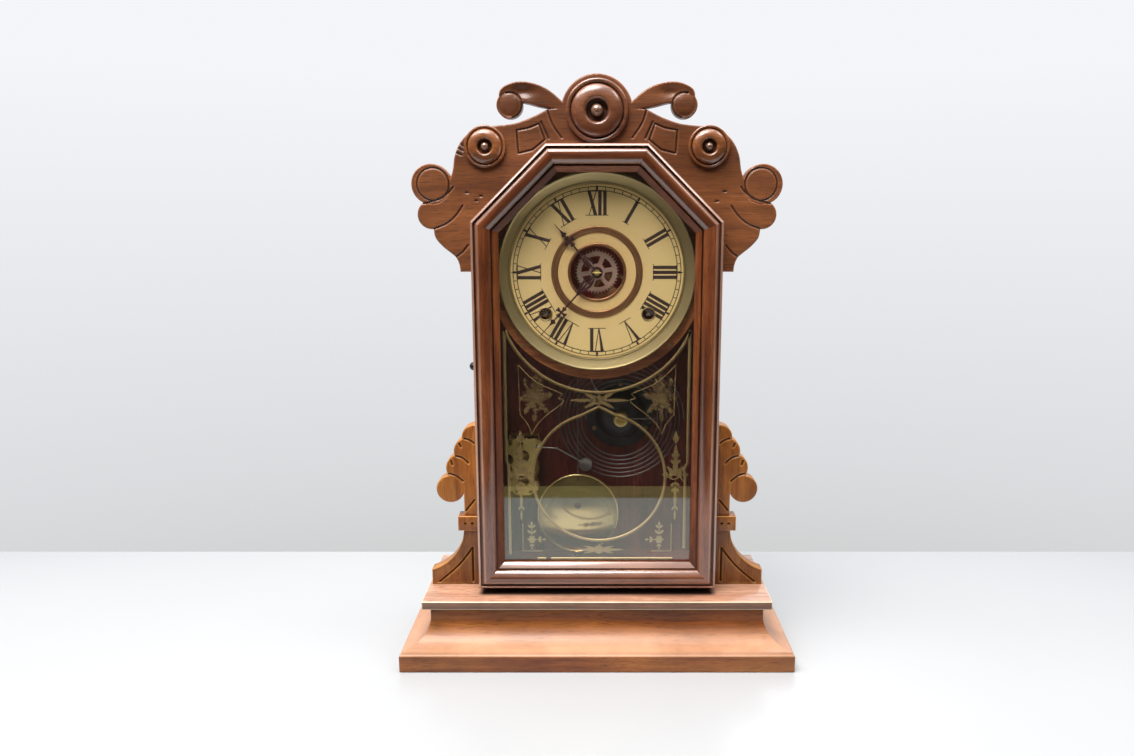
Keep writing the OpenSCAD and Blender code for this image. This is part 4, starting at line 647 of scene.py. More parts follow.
door_depth = DOOR_BACK - DOOR_FACE
door_section = (
    [(0.0, door_depth), (0.0, 3.3), (0.15, 3.05), (1.95, 1.25), (2.1, 1.2), (2.35, 1.5), (2.5, 3.4),
     (3.5, 3.4)]
    + arc(8.8, 5.4, 5.3, 5.2, 200, 270, 9) + arc(8.8, 6.6, 8.8, 6.4, 273, 350, 10)
    + [(17.7, 7.6), (18.6, 7.6), (18.8, 5.9), (19.1, 5.7), (23.6, 8.6), (24.0, 9.2), (24.0, 12.0),
       (18.0, 12.0), (18.0, door_depth)]
)
# Groove bottoms are darkened, as dirt and as painted shade. The outer bevel and the top of the roll are
# paled, as wear and as painted highlight; on the bottom rail the inner bevel, which faces up, is paled as
# painted light as well.
door_dirt_and_shade = [0.7 if 2.4 < a < 3.6 and d > 2.4 or 17.6 < a < 18.7 and d > 6.5 else 0.0
             for a, d in door_section]
outer_wear_and_highlight = [0.8 if 0.1 < a < 2.3 and d < 3.2 else (0.5 if 4.0 < a < 6.8 else 0.0) for a, d in door_section]
inner_wear_and_highlight = [0.65 if a > 19.0 and d < 9.0 else (0.35 if 12.0 < a < 17.0 and d < 6.5 else w)
              for w, (a, d) in zip(outer_wear_and_highlight, door_section)]
inner_dull = [1.0 if a > 18.7 and d < 9.5 else 0.0 for a, d in door_section]


def door_member(i, seed, outer=0.0):
    def end(k):
        def at(j):
            across, depth = door_section[j]
            x, z = door_corner(k, max(across, outer))
            return (x, DOOR_FACE + depth, z)
        return at
    own = {"wear_and_painted_light": inner_wear_and_highlight} if i == 0 else {"wear_and_painted_light": outer_wear_and_highlight, "dull": inner_dull}
    return member(door_section, end(i), end(i + 1), seed, {"dirt_and_shade": door_dirt_and_shade, **own})


# %% Door members
HINGE_PLAY = 0.12
door_parts = {
    "door_bottom_rail": make("door_bottom_frame", *door_member(0, 1)),
    "door_right_stile": make("door_right_frame", *door_member(1, 2, outer=HINGE_PLAY)),
    "door_slopes": make("door_slope_frames", *join_lists([door_member(2, 3), door_member(4, 4)])),
    "door_top_rail": make("door_top_frame", *door_member(3, 5)),
    "door_left_stile": make("door_left_frame", *door_member(5, 6)),
}


def cut_away(piece, cutters):
    """Boolean difference, applied, with the cutters removed again."""
    for cutter in cutters:
        step = piece.modifiers.new("cut", "BOOLEAN")
        step.operation, step.solver, step.object = "DIFFERENCE", "EXACT", cutter
    shown = piece.evaluated_get(bpy.context.evaluated_depsgraph_get())
    mesh = bpy.data.meshes.new_from_object(shown)
    soften(mesh, 20.0)
    piece.modifiers.clear()
    old, piece.data = piece.data, mesh
    bpy.data.meshes.remove(old)
    for cutter in cutters:
        bpy.data.objects.remove(cutter)
    return piece


def rod(name, start, end, radius, sides=32):
    """A plain round bar between two points, in millimetres."""
    a, b = Vector(start), Vector(end)
    axis = (b - a).normalized()
    side = axis.orthogonal().normalized()
    up = axis.cross(side)
    ring = [side * math.cos(t) + up * math.sin(t)
            for t in (2 * math.pi * k / sides for k in range(sides))]
    points = [a + r * radius for r in ring] + [b + r * radius for r in ring]
    faces = [[k, (k + 1) % sides, (k + 1) % sides + sides, k + sides] for k in range(sides)]
    faces += [list(range(sides)), list(range(sides, 2 * sides))]
    return make(name, points, faces)


leaf_low, leaf_high = span("hinge_case_leaves")
knuckle_x = leaf_high[0] - 2.0
knuckle_y = (DOOR_BACK + CARVING_FRONT - 2.0) / 2
KNUCKLE_ROOM, LEAF_H, LEAF_ROOM = 2.3, 24.0, 1.2
cutters = [rod("cutter", (knuckle_x, knuckle_y, z0), (knuckle_x, knuckle_y, z1), KNUCKLE_ROOM)
           for z0, z1 in ((leaf_low[2] - LEAF_ROOM, leaf_low[2] + LEAF_H),
                          (leaf_high[2] - LEAF_H, leaf_high[2] + LEAF_ROOM))]
cut_away(door_parts["door_right_stile"], cutters)
for node, piece in door_parts.items():
    fit(piece, walnut_frame, "door", "walnut_frame", node)

# %% [markdown]
# ## Base
# Three cove mouldings carry the top board. The front and its two returns meet in mitres,
# and the ends at the back are cut square. The top of the cove under the board is painted
# dark as the board's shadow, and its lower half is painted pale as a highlight where it faces up.

# %% Base mouldings
COVE = 24.0
base_section = (
    [(37.8, 0.0), (0.8, 0.0), (0.0, 0.8), (0.0, 15.0)] + arc(1.8, 15.2, 1.8, 1.8, 180, 100, 5)
    + arc(1.8, 42.8, COVE, COVE, 272, 359, 22) + [(25.8, 53.0), (37.8, 53.0)]
)
# Painted shadow under the board at the top of the cove; a painted highlight grows paler down its lower half.
base_painted_shade = [0.6 if z > 50.0 and a < 30 else (0.15 if z > 38 and a < 30 else 0.0) for a, z in base_section]
base_painted_highlight = [min(1.0, max(0.0, (36.0 - z) / 16.0)) if z > 15.5 and a < 30 else 0.0 for a, z in base_section]


def base_end(corner):
    x_sign, at_back = corner

    def at(i):
        inset, z = base_section[i]
        y = base_high[1] if at_back else base_low[1] + inset
        return (x_sign * (base_high[0] - inset), y, z)
    return at


base_sides = [((-1, True), (-1, False)), ((-1, False), (1, False)), ((1, False), (1, True))]
base_parts = [member(base_section, base_end(a), base_end(b), seed, {"dirt_and_shade": base_painted_shade, "wear_and_painted_light": base_painted_highlight})
              for seed, (a, b) in enumerate(base_sides)]
fit(make("base_cove_mouldings", *join_lists(base_parts)), walnut_base, "case", "walnut_base",
    "base_mouldings")


# %% Rounded board
def rounded_board(name, low, high, radius):
    work = bmesh.new()
    bmesh.ops.create_cube(work, size=1.0)
    middle = [(a + b) / 2 for a, b in zip(low, high)]
    for vertex in work.verts:
        vertex.co = [m + c * (b - a) for m, c, a, b in zip(middle, vertex.co, low, high)]
    bmesh.ops.bevel(work, geom=work.edges[:], offset=radius, segments=3, profile=0.5,
                    affect="EDGES")
    points = [tuple(v.co) for v in work.verts]
    faces = [[v.index for v in f.verts] for f in work.faces]
    work.free()
    edge = [1.0 if sum(min(abs(c - a), abs(c - b)) < radius * 0.9 for c, a, b in zip(p, low, high)) > 1
            else 0.0 for p in points]
    return make(name, points, faces, marks={"wear_and_painted_light": edge}, sharp=20.0)


fit(rounded_board("base_top_edge_board", board_low, board_high, 1.1), walnut_top, "case",
    "walnut_base", "base_top_board")

# %% [markdown]
# ## Carved boards
# The crest and the brackets are sawn from boards, rounded over and cut with a veiner. A
# board is made from a fine grid of points. A distance to the sawn outline says which points
# are wood and how the front edge rounds over. Points near an incised line are pulled onto
# it and sunk, so each cut is a crisp V that catches the light on its lower side.


# %% Outline arithmetic
def to_line(points, x, z, closed=False):
    """Distance to a broken line and the nearest place on it."""
    ends = points[1:] + points[:1] if closed else points[1:]
    best, near_x, near_z = np.full(x.shape, 1e9), x.copy(), z.copy()
    for (ax, az), (bx, bz) in zip(points, ends):
        ex, ez = bx - ax, bz - az
        t = np.clip(((x - ax) * ex + (z - az) * ez) / max(ex * ex + ez * ez, 1e-12), 0, 1)
        px, pz = ax + t * ex, az + t * ez
        gap = np.hypot(x - px, z - pz)
        closer = gap < best
        best = np.where(closer, gap, best)
        near_x, near_z = np.where(closer, px, near_x), np.where(closer, pz, near_z)
    return best, near_x, near_z


def in_polygon(points, x, z):
    """Signed distance to a closed outline, negative inside."""
    inside = np.zeros(x.shape, bool)
    for (ax, az), (bx, bz) in zip(points, points[1:] + points[:1]):
        if az != bz:
            inside ^= ((az > z) != (bz > z)) & (x < (bx - ax) * (z - az) / (bz - az) + ax)
    gap = to_line(points, x, z, True)[0]
    return np.where(inside, -gap, gap)


def in_circle(centre, radius, x, z):
    return np.hypot(x - centre[0], z - centre[1]) - radius


def ring_line(centre, radius, a0=0.0, a1=360.0, steps=48):
    return [(centre[0] + radius * math.cos(t), centre[1] + radius * math.sin(t))
            for t in np.radians(np.linspace(a0, a1, steps + 1))]


def rays(shape, x, z):
    """Slope of the distance, for moving points onto the outline."""
    step = 0.05
    return ((shape(x + step, z) - shape(x - step, z)) / (2 * step),
            (shape(x, z + step) - shape(x, z - step)) / (2 * step))


# %% Grid of a board
SQUARE = ((0, 0), (1, 0), (1, 1), (0, 1))


def wood_grid(shape, low, high, pitch):
    """Points and squares of the wood, without squares that touch at a corner only."""
    xs = np.arange(low[0] - pitch, high[0] + 2 * pitch, pitch)
    zs = np.arange(low[1] - pitch, high[1] + 2 * pitch, pitch)
    mid_x, mid_z = np.meshgrid(xs[:-1] + pitch / 2, zs[:-1] + pitch / 2, indexing="ij")
    wood_cell = shape(mid_x, mid_z) < 0
    for _ in range(3):
        corner = wood_cell[:-1, :-1] & wood_cell[1:, 1:] & ~wood_cell[1:, :-1] & ~wood_cell[:-1, 1:]
        other = ~wood_cell[:-1, :-1] & ~wood_cell[1:, 1:] & wood_cell[1:, :-1] & wood_cell[:-1, 1:]
        wood_cell[:-1, :-1] &= ~corner
        wood_cell[1:, :-1] &= ~other
    cells = np.argwhere(wood_cell)
    index = -np.ones((len(xs), len(zs)), int)
    for di, dj in SQUARE:
        index[cells[:, 0] + di, cells[:, 1] + dj] = 0
    used = np.argwhere(index >= 0)
    index[used[:, 0], used[:, 1]] = np.arange(len(used))
    quads = np.stack([index[cells[:, 0] + di, cells[:, 1] + dj] for di, dj in SQUARE], 1)
    return xs[used[:, 0]], zs[used[:, 1]], quads


def open_edges(quads):
    """Edges that only one square has, each in the direction of its square."""
    edges = {(int(a), int(b)): True for quad in quads for a, b in zip(quad, np.roll(quad, -1))}
    return [e for e in edges if (e[1], e[0]) not in edges]


def slide_to_outline(shape, x, z, rim):
    """Moves the points of the rim onto the sawn outline, in place."""
    for _ in range(8):
        value = shape(x[rim], z[rim])
        gx, gz = rays(shape, x[rim], z[rim])
        steep = np.maximum(gx * gx + gz * gz, 0.25)
        x[rim] -= value * gx / steep
        z[rim] -= value * gz / steep


def near_cuts(cuts, x, z):
    """Distance to the nearest cut and its place, and distance to the nearest bent cut."""
    gap, near_x, near_z = np.full(len(x), 1e9), x.copy(), z.copy()
    ridge = gap
    for line, closed in cuts:
        g, lx, lz = to_line(line, x, z, closed)
        closer = g < gap
        gap = np.where(closer, g, gap)
        ridge = np.minimum(ridge, g) if len(line) > 2 else ridge
        near_x, near_z = np.where(closer, lx, near_x), np.where(closer, lz, near_z)
    return gap, near_x, near_z, ridge


def loops_of(edges):
    """Closed loops of points from edges that follow one another."""
    following, loops = dict(edges), []
    while following:
        here, loop = next(iter(following)), []
        while here in following:
            loop.append(here)
            here = following.pop(here)
        loops.append(loop)
    return loops


# %% Carved board
ROUND_R = 1.4


def carved(name, shape, low, high, cuts, sink, front, back, pitch=0.62, cut_w=1.3, cut_d=1.3):
    x, z, quads = wood_grid(shape, low, high, pitch)
    rim_edges = open_edges(quads)
    rim = np.unique(np.array(rim_edges))
    slide_to_outline(shape, x, z, rim)
    inner = np.ones(len(x), bool)
    inner[rim] = False
    gap, near_x, near_z, ridge = near_cuts(cuts, x, z)
    pulled = (gap < 0.52 * pitch) & inner
    x, z = np.where(pulled, near_x, x), np.where(pulled, near_z, z)
    gap = np.where(pulled, 0.0, gap)
    depth_in = np.clip(-shape(x, z), 0.0, None)
    depth_in[rim] = 0.0
    lost = np.clip(ROUND_R - depth_in, 0.0, ROUND_R)
    level = ROUND_R - np.sqrt(np.maximum(ROUND_R ** 2 - lost ** 2, 0.0))
    level = level + sink(x, z) * np.clip(depth_in / 2.5, 0, 1) + cut_d * np.clip(1 - gap / cut_w, 0, 1)
    # Cuts are darkened nearly to black, partly as dirt and partly as painted shade in the V. Beside each
    # bent cut a pale band is a painted highlight; the pale rounded rim is wear.
    dirt_and_shade = np.clip(1.1 - gap / (0.9 * cut_w), 0, 1) * 0.92
    wear_and_painted_light = np.maximum(np.clip(1.0 - depth_in / 1.6, 0, 1), np.exp(-((ridge - 1.5) / 0.4) ** 2)) * 0.5
    points = list(zip(x, front + level, z)) + [(x[v], back, z[v]) for v in rim]
    behind = {int(v): len(x) + k for k, v in enumerate(rim)}
    faces = [list(map(int, quad)) for quad in quads]
    faces += [[a, behind[a], behind[b], b] for a, b in rim_edges]
    faces += [[behind[v] for v in loop] for loop in loops_of(rim_edges)]
    marks = {"dirt_and_shade": list(dirt_and_shade) + [0.0] * len(rim), "wear_and_painted_light": list(wear_and_painted_light) + [0.1] * len(rim)}
    return make(name, points, faces, marks=marks)


# %% [markdown]
# ## Crest
# The crest is one board in mirrored halves: a dome, two horns that end in balls, rounded
# shoulders, and ears with leaf lobes under them. Rings, leaf veins and two small panels
# are incised. The horns are scooped behind their balls.

# %% Crest outline
EAR, EAR_R = (-149.2, 443.0), 18.0
LOBE, LOBE_R = (-149.5, 416.0), 13.0
HORN, HORN_R = (-77.6, 511.7), 11.6
DOME, DOME_R = (0.0, 506.5), 31.95
SMALL_ROSETTES = [(-99.8, 475.8), (99.8, 475.8)]


def from_top(points):
    return [(x, z + CASE_TOP) for x, z in points]


shoulder = smooth([(-136, -40), (-129.8, -22.5), (-127.5, -9), (-122.7, 2), (-115.5, 10), (-106, 14.8),
                   (-94.4, 17), (-74, 19.2), (-57.2, 25), (-44, 31.5)], 5)
tail = smooth([(-148.4, -72.4), (-146.8, -81.3), (-140, -89.4), (-133, -95), (-128.4, -99.3),
               (-125.8, -105.4), (-125, -112)], 4)
horn = smooth([(-86.5, 33), (-86.2, 47), (-77.5, 53.3), (-65.8, 55.2), (-51.6, 52.4), (-40, 46.2),
               (-29, 36.5)], 5)
wing = from_top([(0, 0), (-CASE_HALF - 1, -112)] + tail[::-1] + [(-154, -49.5)] + shoulder
                + [(-30, 33), (0, 33)])
horn = from_top(horn + [(-28, 30), (-42.7, 32.4), (-52, 34), (-61, 36.4), (-67.5, 37.8), (-77.6, 35.2)])
case_edge = [(-CASE_HALF, BOARD_TOP), (CASE_HALF, BOARD_TOP), (CASE_HALF, CASE_TOP - CORNER),
             (CASE_HALF - CORNER, CASE_TOP), (CORNER - CASE_HALF, CASE_TOP), (-CASE_HALF, CASE_TOP - CORNER)]


def crest_shape(x, z):
    x = -np.abs(x)
    body = np.minimum(in_polygon(wing, x, z), in_polygon(horn, x, z))
    for centre, radius in ((EAR, EAR_R), (LOBE, LOBE_R), (HORN, HORN_R), (DOME, DOME_R)):
        body = np.minimum(body, in_circle(centre, radius, x, z))
    return np.maximum(body, -in_polygon(case_edge, x, z))


def crest_sink(x, z):
    """How far the carver went below the board's face."""
    x = -np.abs(x)
    ring = np.hypot(x - EAR[0] - 1.6, z - EAR[1])
    ear = np.clip((ring - 14.0) / 4.0, 0, 1.2) * (np.hypot(x - EAR[0], z - EAR[1]) < EAR_R) * 1.1
    scoop = 3.0 * np.exp(-((x + 66.0) ** 2 / 90.0 + (z - CASE_TOP - 46.5) ** 2 / 26.0))
    eye = np.hypot(x - HORN[0], z - HORN[1])
    ball = np.where(eye < 10.8, 1.5 * (eye / 10.8) ** 3, 1.0 * np.clip(1 - (eye - 10.8) / 9.0, 0, 1))
    return ear + np.maximum(scoop, ball * (eye < 17))


# %% Crest lines
half_cuts = [
    (from_top(smooth([(-156.5, -50.6), (-145, -47.5), (-134.5, -41.5), (-129.5, -35.8)], 4)), False),
    (from_top(smooth([(-148, -73), (-136.5, -68.5), (-127.5, -61), (-121.5, -52.5)], 4)), False),
    (from_top(smooth([(-128.8, -98.4), (-122.5, -94), (-117, -87.5)], 4)), False),
    (from_top(smooth([(-44, 31), (-39.5, 18.5), (-31.5, 7)], 4)), False),
    (from_top([(-49.5, 20.5), (-43.2, 6.5)]), False),
    (from_top([(-71.5, 13.5), (-70.2, -6.5), (-57.5, -3.5), (-46.5, 5.2), (-51.5, 19), (-60.5, 15.4)]),
     True),
    (ring_line((EAR[0] + 1.6, EAR[1]), EAR_R - 3.6), True),
    (ring_line(HORN, HORN_R - 0.7, -75, 105), False),
]
hatch = [([(-125.4 + 1.6 * k, 470.4 + 4.0 * k), (-121.0 + 1.4 * k, 468.6 + 3.6 * k)], False)
         for k in range(3)]
nails = [([(x - 0.9, z), (x + 0.9, z)], False) for x, z in
         ((-116.9, 435.5), (-108.8, 428.4), (-104.5, 432.5), (114.9, 436.5), (108.1, 427.9))]
crest_cuts = half_cuts + [([(-x, z) for x, z in line], closed) for line, closed in half_cuts] + hatch + nails
crest = carved("carved_crest", crest_shape, (crest_low[0], crest_low[2]), (crest_high[0], crest_high[2]),
               crest_cuts, crest_sink, CARVING_FRONT, CARVING_BACK)
fit(crest, walnut_crest, "case", "walnut_carving", "crest_board")

# %% [markdown]
# ## Side brackets
# Each bracket is a scroll of four lobes over a square belt and a hollow-curved foot. The
# right one is the left one mirrored, with its faces turned back outwards.

# %% Brackets
FOOT_X, NECK_X, BELT_Z, BELT_H, BELT_W, BELT_OUT = -48.7, -15.6, 55.8, 14.4, 21.6, 2.4
lobes = [((-3.8, 147.5), 12.5), ((-11.0, 134.0), 13.2), ((-18.0, 117.5), 14.0), ((-28.3, 96.7), 13.4)]
scroll = [(0.0, 158.0), (-6.0, 160.0), (-11.0, 140.0), (-19.0, 125.0), (-24.0, 108.0), (NECK_X, 100.0),
          (NECK_X, BELT_Z + BELT_H), (0.0, BELT_Z + BELT_H)]
foot = [(0.0, 0.0), (0.0, BELT_Z + BELT_H), (NECK_X, BELT_Z + BELT_H)] + smooth(
    [(NECK_X - 1, BELT_Z), (-18.2, 45.5), (-22.8, 35.3), (-29, 27), (-38.4, 19.6), (FOOT_X, 15)], 5) + [
    (FOOT_X, 0.0)]
bracket_cuts = [(smooth(line, 4), False) for line in (
    [(-13.4, 146.4), (-9, 145), (-4.8, 142)], [(-22, 129.3), (-16, 127.5), (-10.5, 122.5)],
    [(-28.8, 112), (-22.5, 109.8), (-16, 104.5)], [(-5.3, 85.8), (-14, 75)],
    [(-8.5, 37.5), (-22, 20), (-41.5, 2.5)], [(-8.5, 37.5), (-8.5, 3.4)],
    [(-18.6, 141.6), (-17.2, 138.6)], [(-27.0, 124.6), (-25.6, 120.8)])]


def bracket_shape(x, z):
    body = np.minimum(in_polygon(scroll, x, z), in_polygon(foot, x, z))
    for centre, radius in lobes:
        body = np.minimum(body, in_circle(centre, radius, x, z))
    return np.maximum(body, np.maximum(x, -z))


def bracket_sink(x, z):
    return 1.6 * np.exp(-np.abs(in_polygon(foot, x, z)) / 5.0) * (z < BELT_Z) * (x < NECK_X)


for side, side_name in ((-1, "left"), (1, "right")):
    board = carved(side_name + "_bracket_scroll", bracket_shape, (FOOT_X, 0.0), (0.0, 161.0), bracket_cuts,
                   bracket_sink, CARVING_FRONT, CARVING_BACK, pitch=0.5, cut_w=1.4, cut_d=1.7)
    belt = rounded_board(side_name + "_bracket_belt", (-BELT_W, CARVING_FRONT - BELT_OUT, BELT_Z),
                         (-0.02, CARVING_BACK - 0.05, BELT_Z + BELT_H), 0.7)
    cut_away(belt, [rod("cutter", (x, CARVING_FRONT - 9.0, BELT_Z + BELT_H / 2),
                        (x, CARVING_FRONT, BELT_Z + BELT_H / 2), 1.3, 16) for x in (-14.6, -7.9)])
    for piece in (board, belt):
        for vertex in piece.data.vertices:
            vertex.co.x = side * (CASE_HALF * MM - vertex.co.x)
            vertex.co.z += BOARD_TOP * MM
        if side > 0:
            piece.data.flip_normals()
        fit(piece, walnut_bracket, "case", "walnut_base", side_name + "_bracket")

# %% [markdown]
# ## Turnings
# The rosettes are turned on a lathe and glued on: a thin flange, a quirk and a fat cushion
# round a sunk middle, with a ball button on a stem. The bezel and the raised rings of the
# dial are spun in the same way, so one lathe helper makes them all.


# %% Lathe
def lathe(centre, back, profile, sides=96, marks=None):
    """Closed ring profile of (radius, height in front of the back plane)."""
    count = len(profile)
    points = [(centre[0] + r * math.cos(t), back - h, centre[1] + r * math.sin(t))
              for t in (2 * math.pi * k / sides for k in range(sides)) for r, h in profile]
    faces = []
    for k in range(sides):
        a, b = k * count, (k + 1) % sides * count
        faces += [[a + i, a + (i + 1) % count, b + (i + 1) % count, b + i] for i in range(count)]
    return points, faces, None, {key: list(values) * sides for key, values in (marks or {}).items()}


def rosette_profile(r, h):
    rim = [(1.9, 0.0), (r - 0.4, 0.0), (r, 0.5), (r, h * 0.32)]
    flange = arc(r - 0.07 * r, h * 0.34, 0.07 * r, h * 0.16, 0, 170, 5)
    quirk = [(r * 0.85, h * 0.24), (r * 0.83, h * 0.24)]
    cushion = arc(r * 0.46, h * 0.3, r * 0.37, h * 0.7, 0, 88, 16)
    cushion += arc(r * 0.46, h * 0.46, r * 0.125, h * 0.54, 92, 188, 8)
    bowl = [(r * 0.335, h * 0.2), (r * 0.3, h * 0.12), (1.9, h * 0.12)]
    return rim + flange + quirk + cushion + bowl


# The quirk and the sunk middle are darkened, as dirt and as painted shade.
def rosette_dirt_and_shade(r, profile):
    return [0.75 if abs(a / r - 0.84) < 0.02 else (0.45 if a < 0.36 * r else 0.0) for a, h in profile]


def button_profile(r, h):
    ball = arc(0.0, h, r, r, -45, 88, 12)
    return [(0.05, 0.0), (1.5, 0.0), (1.5, h - r * 0.8)] + ball + [(0.05, h + r)]


big_r, small_r = 27.8, 18.5
big = rosette_profile(big_r, 9.0)
small = rosette_profile(small_r, 7.0)
rosette = lathe(DOME, CARVING_FRONT, big, 128, {"dirt_and_shade": rosette_dirt_and_shade(big_r, big)})
fit(make("centre_turned_rosette", *rosette), walnut_turned, "case", "walnut_turning", "centre_rosette")
pair = [lathe(centre, CARVING_FRONT, small, 96, {"dirt_and_shade": rosette_dirt_and_shade(small_r, small)})
        for centre in SMALL_ROSETTES]
fit(make("side_turned_rosettes", *join_lists(pair)), walnut_rosette, "case", "walnut_turning",
    "side_rosettes")
button_back = CARVING_FRONT + 7.0
buttons = [lathe(DOME, button_back, button_profile(5.5, 11.6), 48)]
buttons += [lathe(centre, button_back, button_profile(3.5, 10.4), 40) for centre in SMALL_ROSETTES]
fit(make("turned_buttons", *join_lists(buttons)), walnut_button, "case", "walnut_turning",
    "rosette_buttons")

# %% [markdown]
# ## Dial
# The dial is a painted zinc sheet with a raised copper-coloured ring, a smaller ring round
# the open middle and two holes for the key. The minute track is repeated sixty times, so
# Geometry Nodes places one tick round a circle; the hour numerals are flat strokes.


# %% Dial sheet and rings
KEY_HOLES = [(side * 47.5, DIAL[1] - 38.4) for side in (-1, 1)]
dial_back = DIAL_FRONT + 1.0
INK_Y = DIAL_FRONT - 0.06
sheet_section = [(24.3, 0.0), (79.4, 0.0), (79.4, 0.85), (79.2, 1.0), (24.3, 1.0)]
sheet = make("dial_sheet", *lathe(DIAL, dial_back, sheet_section, 180))
cut_away(sheet, [rod("cutter", (x, dial_back - 3, z), (x, dial_back + 3, z), 5.4, 48)
                 for x, z in KEY_HOLES])
fit(sheet, dial_cream, "case", "dial_paper", "dial_plate")
outer_ring = ([(35.7, 0.9)] + arc(37.0, 1.3, 1.2, 0.6, 180, 60, 5) + arc(40.6, 1.3, 1.4, 0.6, 120, 0, 5)
              + [(42.0, 0.9)])
inner_ring = [(24.25, 0.9)] + arc(25.6, 1.1, 1.3, 1.0, 180, 0, 10) + [(26.95, 0.9)]
# The edges of each ring, and one line along its middle, are darkened, as dirt and as painted shade.
rings = [lathe(DIAL, dial_back, p, 128,
               {"dirt_and_shade": [0.9 if i in (0, len(p) - 1, len(p) // 2) else 0.0 for i in range(len(p))]})
         for p in (outer_ring, inner_ring)]
fit(make("dial_copper_rings", *join_lists(rings)), copper_ring, "case", "dial_paper")
grommet = [(5.45, 0.2)] + arc(6.0, 1.0, 0.55, 0.55, 180, 0, 8) + [(6.5, 0.95), (6.5, 0.2)]
grommets = [lathe(hole, dial_back, grommet, 48) for hole in KEY_HOLES]
fit(make("winding_grommets", *join_lists(grommets)), bezel_brass, "case", "bezel_brass")


# %% Bezel
bezel = ([(79.6, 0.0), (90.6, 0.0)] + arc(89.6, 5.2, 1.0, 1.1, 0, 150, 6)
         + [(87.4, 5.2), (84.6, 3.9), (82.2, 2.9), (81.2, 2.6)] + arc(80.5, 2.3, 0.7, 0.7, 60, 180, 5))
# The quirk inside the bezel is darkened, as dirt and as painted shade.
bezel_dirt_and_shade = [0.8 if 81.0 < r < 81.5 and h > 1 else 0.0 for r, h in bezel]
fit(make("spun_bezel", *lathe(DIAL, dial_back, bezel, 180, {"dirt_and_shade": bezel_dirt_and_shade})), bezel_brass, "case",
    "bezel_brass", "dial_bezel")


# %% [markdown]
# ## Numbers of the dial
# A numeral stands on the radius with its foot towards the middle. It is built from thick
# bars, thin bars and hairline serifs, as old type was. The strokes are very thin solids,
# a few hundredths of a millimetre above the sheet, like a layer of ink. Each stroke lies a
# hair in front of the last, so that crossing strokes never share a face.

# %% Ink strokes
INK_T, LIFT = 0.05, 0.004


def stroke(a, b, width_a, width_b=None):
    """Flat bar from a to b with its ends square to the radius."""
    width_b = width_a if width_b is None else width_b
    return [(a[0] - width_a / 2, a[1]), (a[0] + width_a / 2, a[1]),
            (b[0] + width_b / 2, b[1]), (b[0] - width_b / 2, b[1])]


FOOT_R, HEAD_R, THICK, THIN, GAP, SERIF = 51.6, 72.9, 3.1, 0.85, 4.5, 0.65


def letter(sign, x):
    """Strokes of one letter with its left edge at x, and the letter's width."""
    if sign == "I":
        return [stroke((x + THICK / 2, FOOT_R), (x + THICK / 2, HEAD_R), THICK)], THICK
    wide = 8.4
    left, right = x + THICK / 2, x + wide - THIN / 2
    if sign == "X":
        return [stroke((right - 0.6, FOOT_R), (left, HEAD_R), THICK),
                stroke((left, FOOT_R), (right, HEAD_R), THIN)], wide
    middle = x + wide * 0.56
    return [stroke((middle, FOOT_R), (left, HEAD_R), THIN, THICK),
            stroke((middle, FOOT_R), (right, HEAD_R), THIN)], wide


def numeral(text):
    shapes, x = [], 0.0
    for sign in text:
        strokes, width = letter(sign, x)
        shapes += strokes
        x += width + (GAP - THICK)
    x -= GAP - THICK
    for radius, over in ((FOOT_R, 1.7), (HEAD_R, 0.9)):
        low, high = radius - SERIF / 2, radius + SERIF / 2
        shapes.append([(-over, low), (x + over, low), (x + over, high), (-over, high)])
    return [[(px - x / 2, pz) for px, pz in shape] for shape in shapes]


def on_dial(shape, turn):
    """A flat shape turned clockwise about the dial's middle."""
    c, s = math.cos(turn), math.sin(turn)
    return [(DIAL[0] + x * c + z * s, DIAL[1] - x * s + z * c) for x, z in shape]


def inked(shapes, turn):
    """Thin solids from flat shapes, set at their hour."""
    return [prism(on_dial(shape, turn), INK_Y - LIFT * k, INK_Y + INK_T) for k, shape in enumerate(shapes)]


TRACK_R = 75.3
numeral_parts = []
for hour, text in enumerate(("XII", "I", "II", "III", "IIII", "V", "VI", "VII", "VIII", "IX", "X", "XI")):
    numeral_parts += inked(numeral(text), math.radians(30 * hour))
for hour in range(12):
    long = 3.9 if hour % 3 == 0 else 2.9
    diamond = [(0.0, TRACK_R - long * 0.8), (1.2, TRACK_R), (0.0, TRACK_R + long), (-1.2, TRACK_R)]
    numeral_parts += inked([diamond], math.radians(30 * hour))
fit(make("roman_numerals", *join_lists(numeral_parts)), print_ink, "case", "dial_paper")


# %% Minute track with Geometry Nodes
def geometry_tree(name, inputs):
    tree = bpy.data.node_groups.new(name, "GeometryNodeTree")
    tree.interface.new_socket("Geometry", in_out="INPUT", socket_type="NodeSocketGeometry")
    for title, kind in inputs:
        tree.interface.new_socket(title, in_out="INPUT", socket_type=kind)
    tree.interface.new_socket("Geometry", in_out="OUTPUT", socket_type="NodeSocketGeometry")
    return tree, tree.nodes.new("NodeGroupInput"), tree.nodes.new("NodeGroupOutput")


def grown(name, start, tree, values):
    """Runs a geometry tree on a start mesh and keeps the result as a plain mesh."""
    holder = bpy.data.objects.new(name + "_holder", start)
    scene.collection.objects.link(holder)
    step = holder.modifiers.new("grow", "NODES")
    step.node_group = tree
    sockets = {s.name: s.identifier for s in tree.interface.items_tree if s.in_out == "INPUT"}
    for title, value in values.items():
        step[sockets[title]] = value
    shown = holder.evaluated_get(bpy.context.evaluated_depsgraph_get())
    mesh = bpy.data.meshes.new_from_object(shown)
    bpy.data.objects.remove(holder)
    face_outwards(mesh)
    mesh.name = name
    return show(name, mesh)


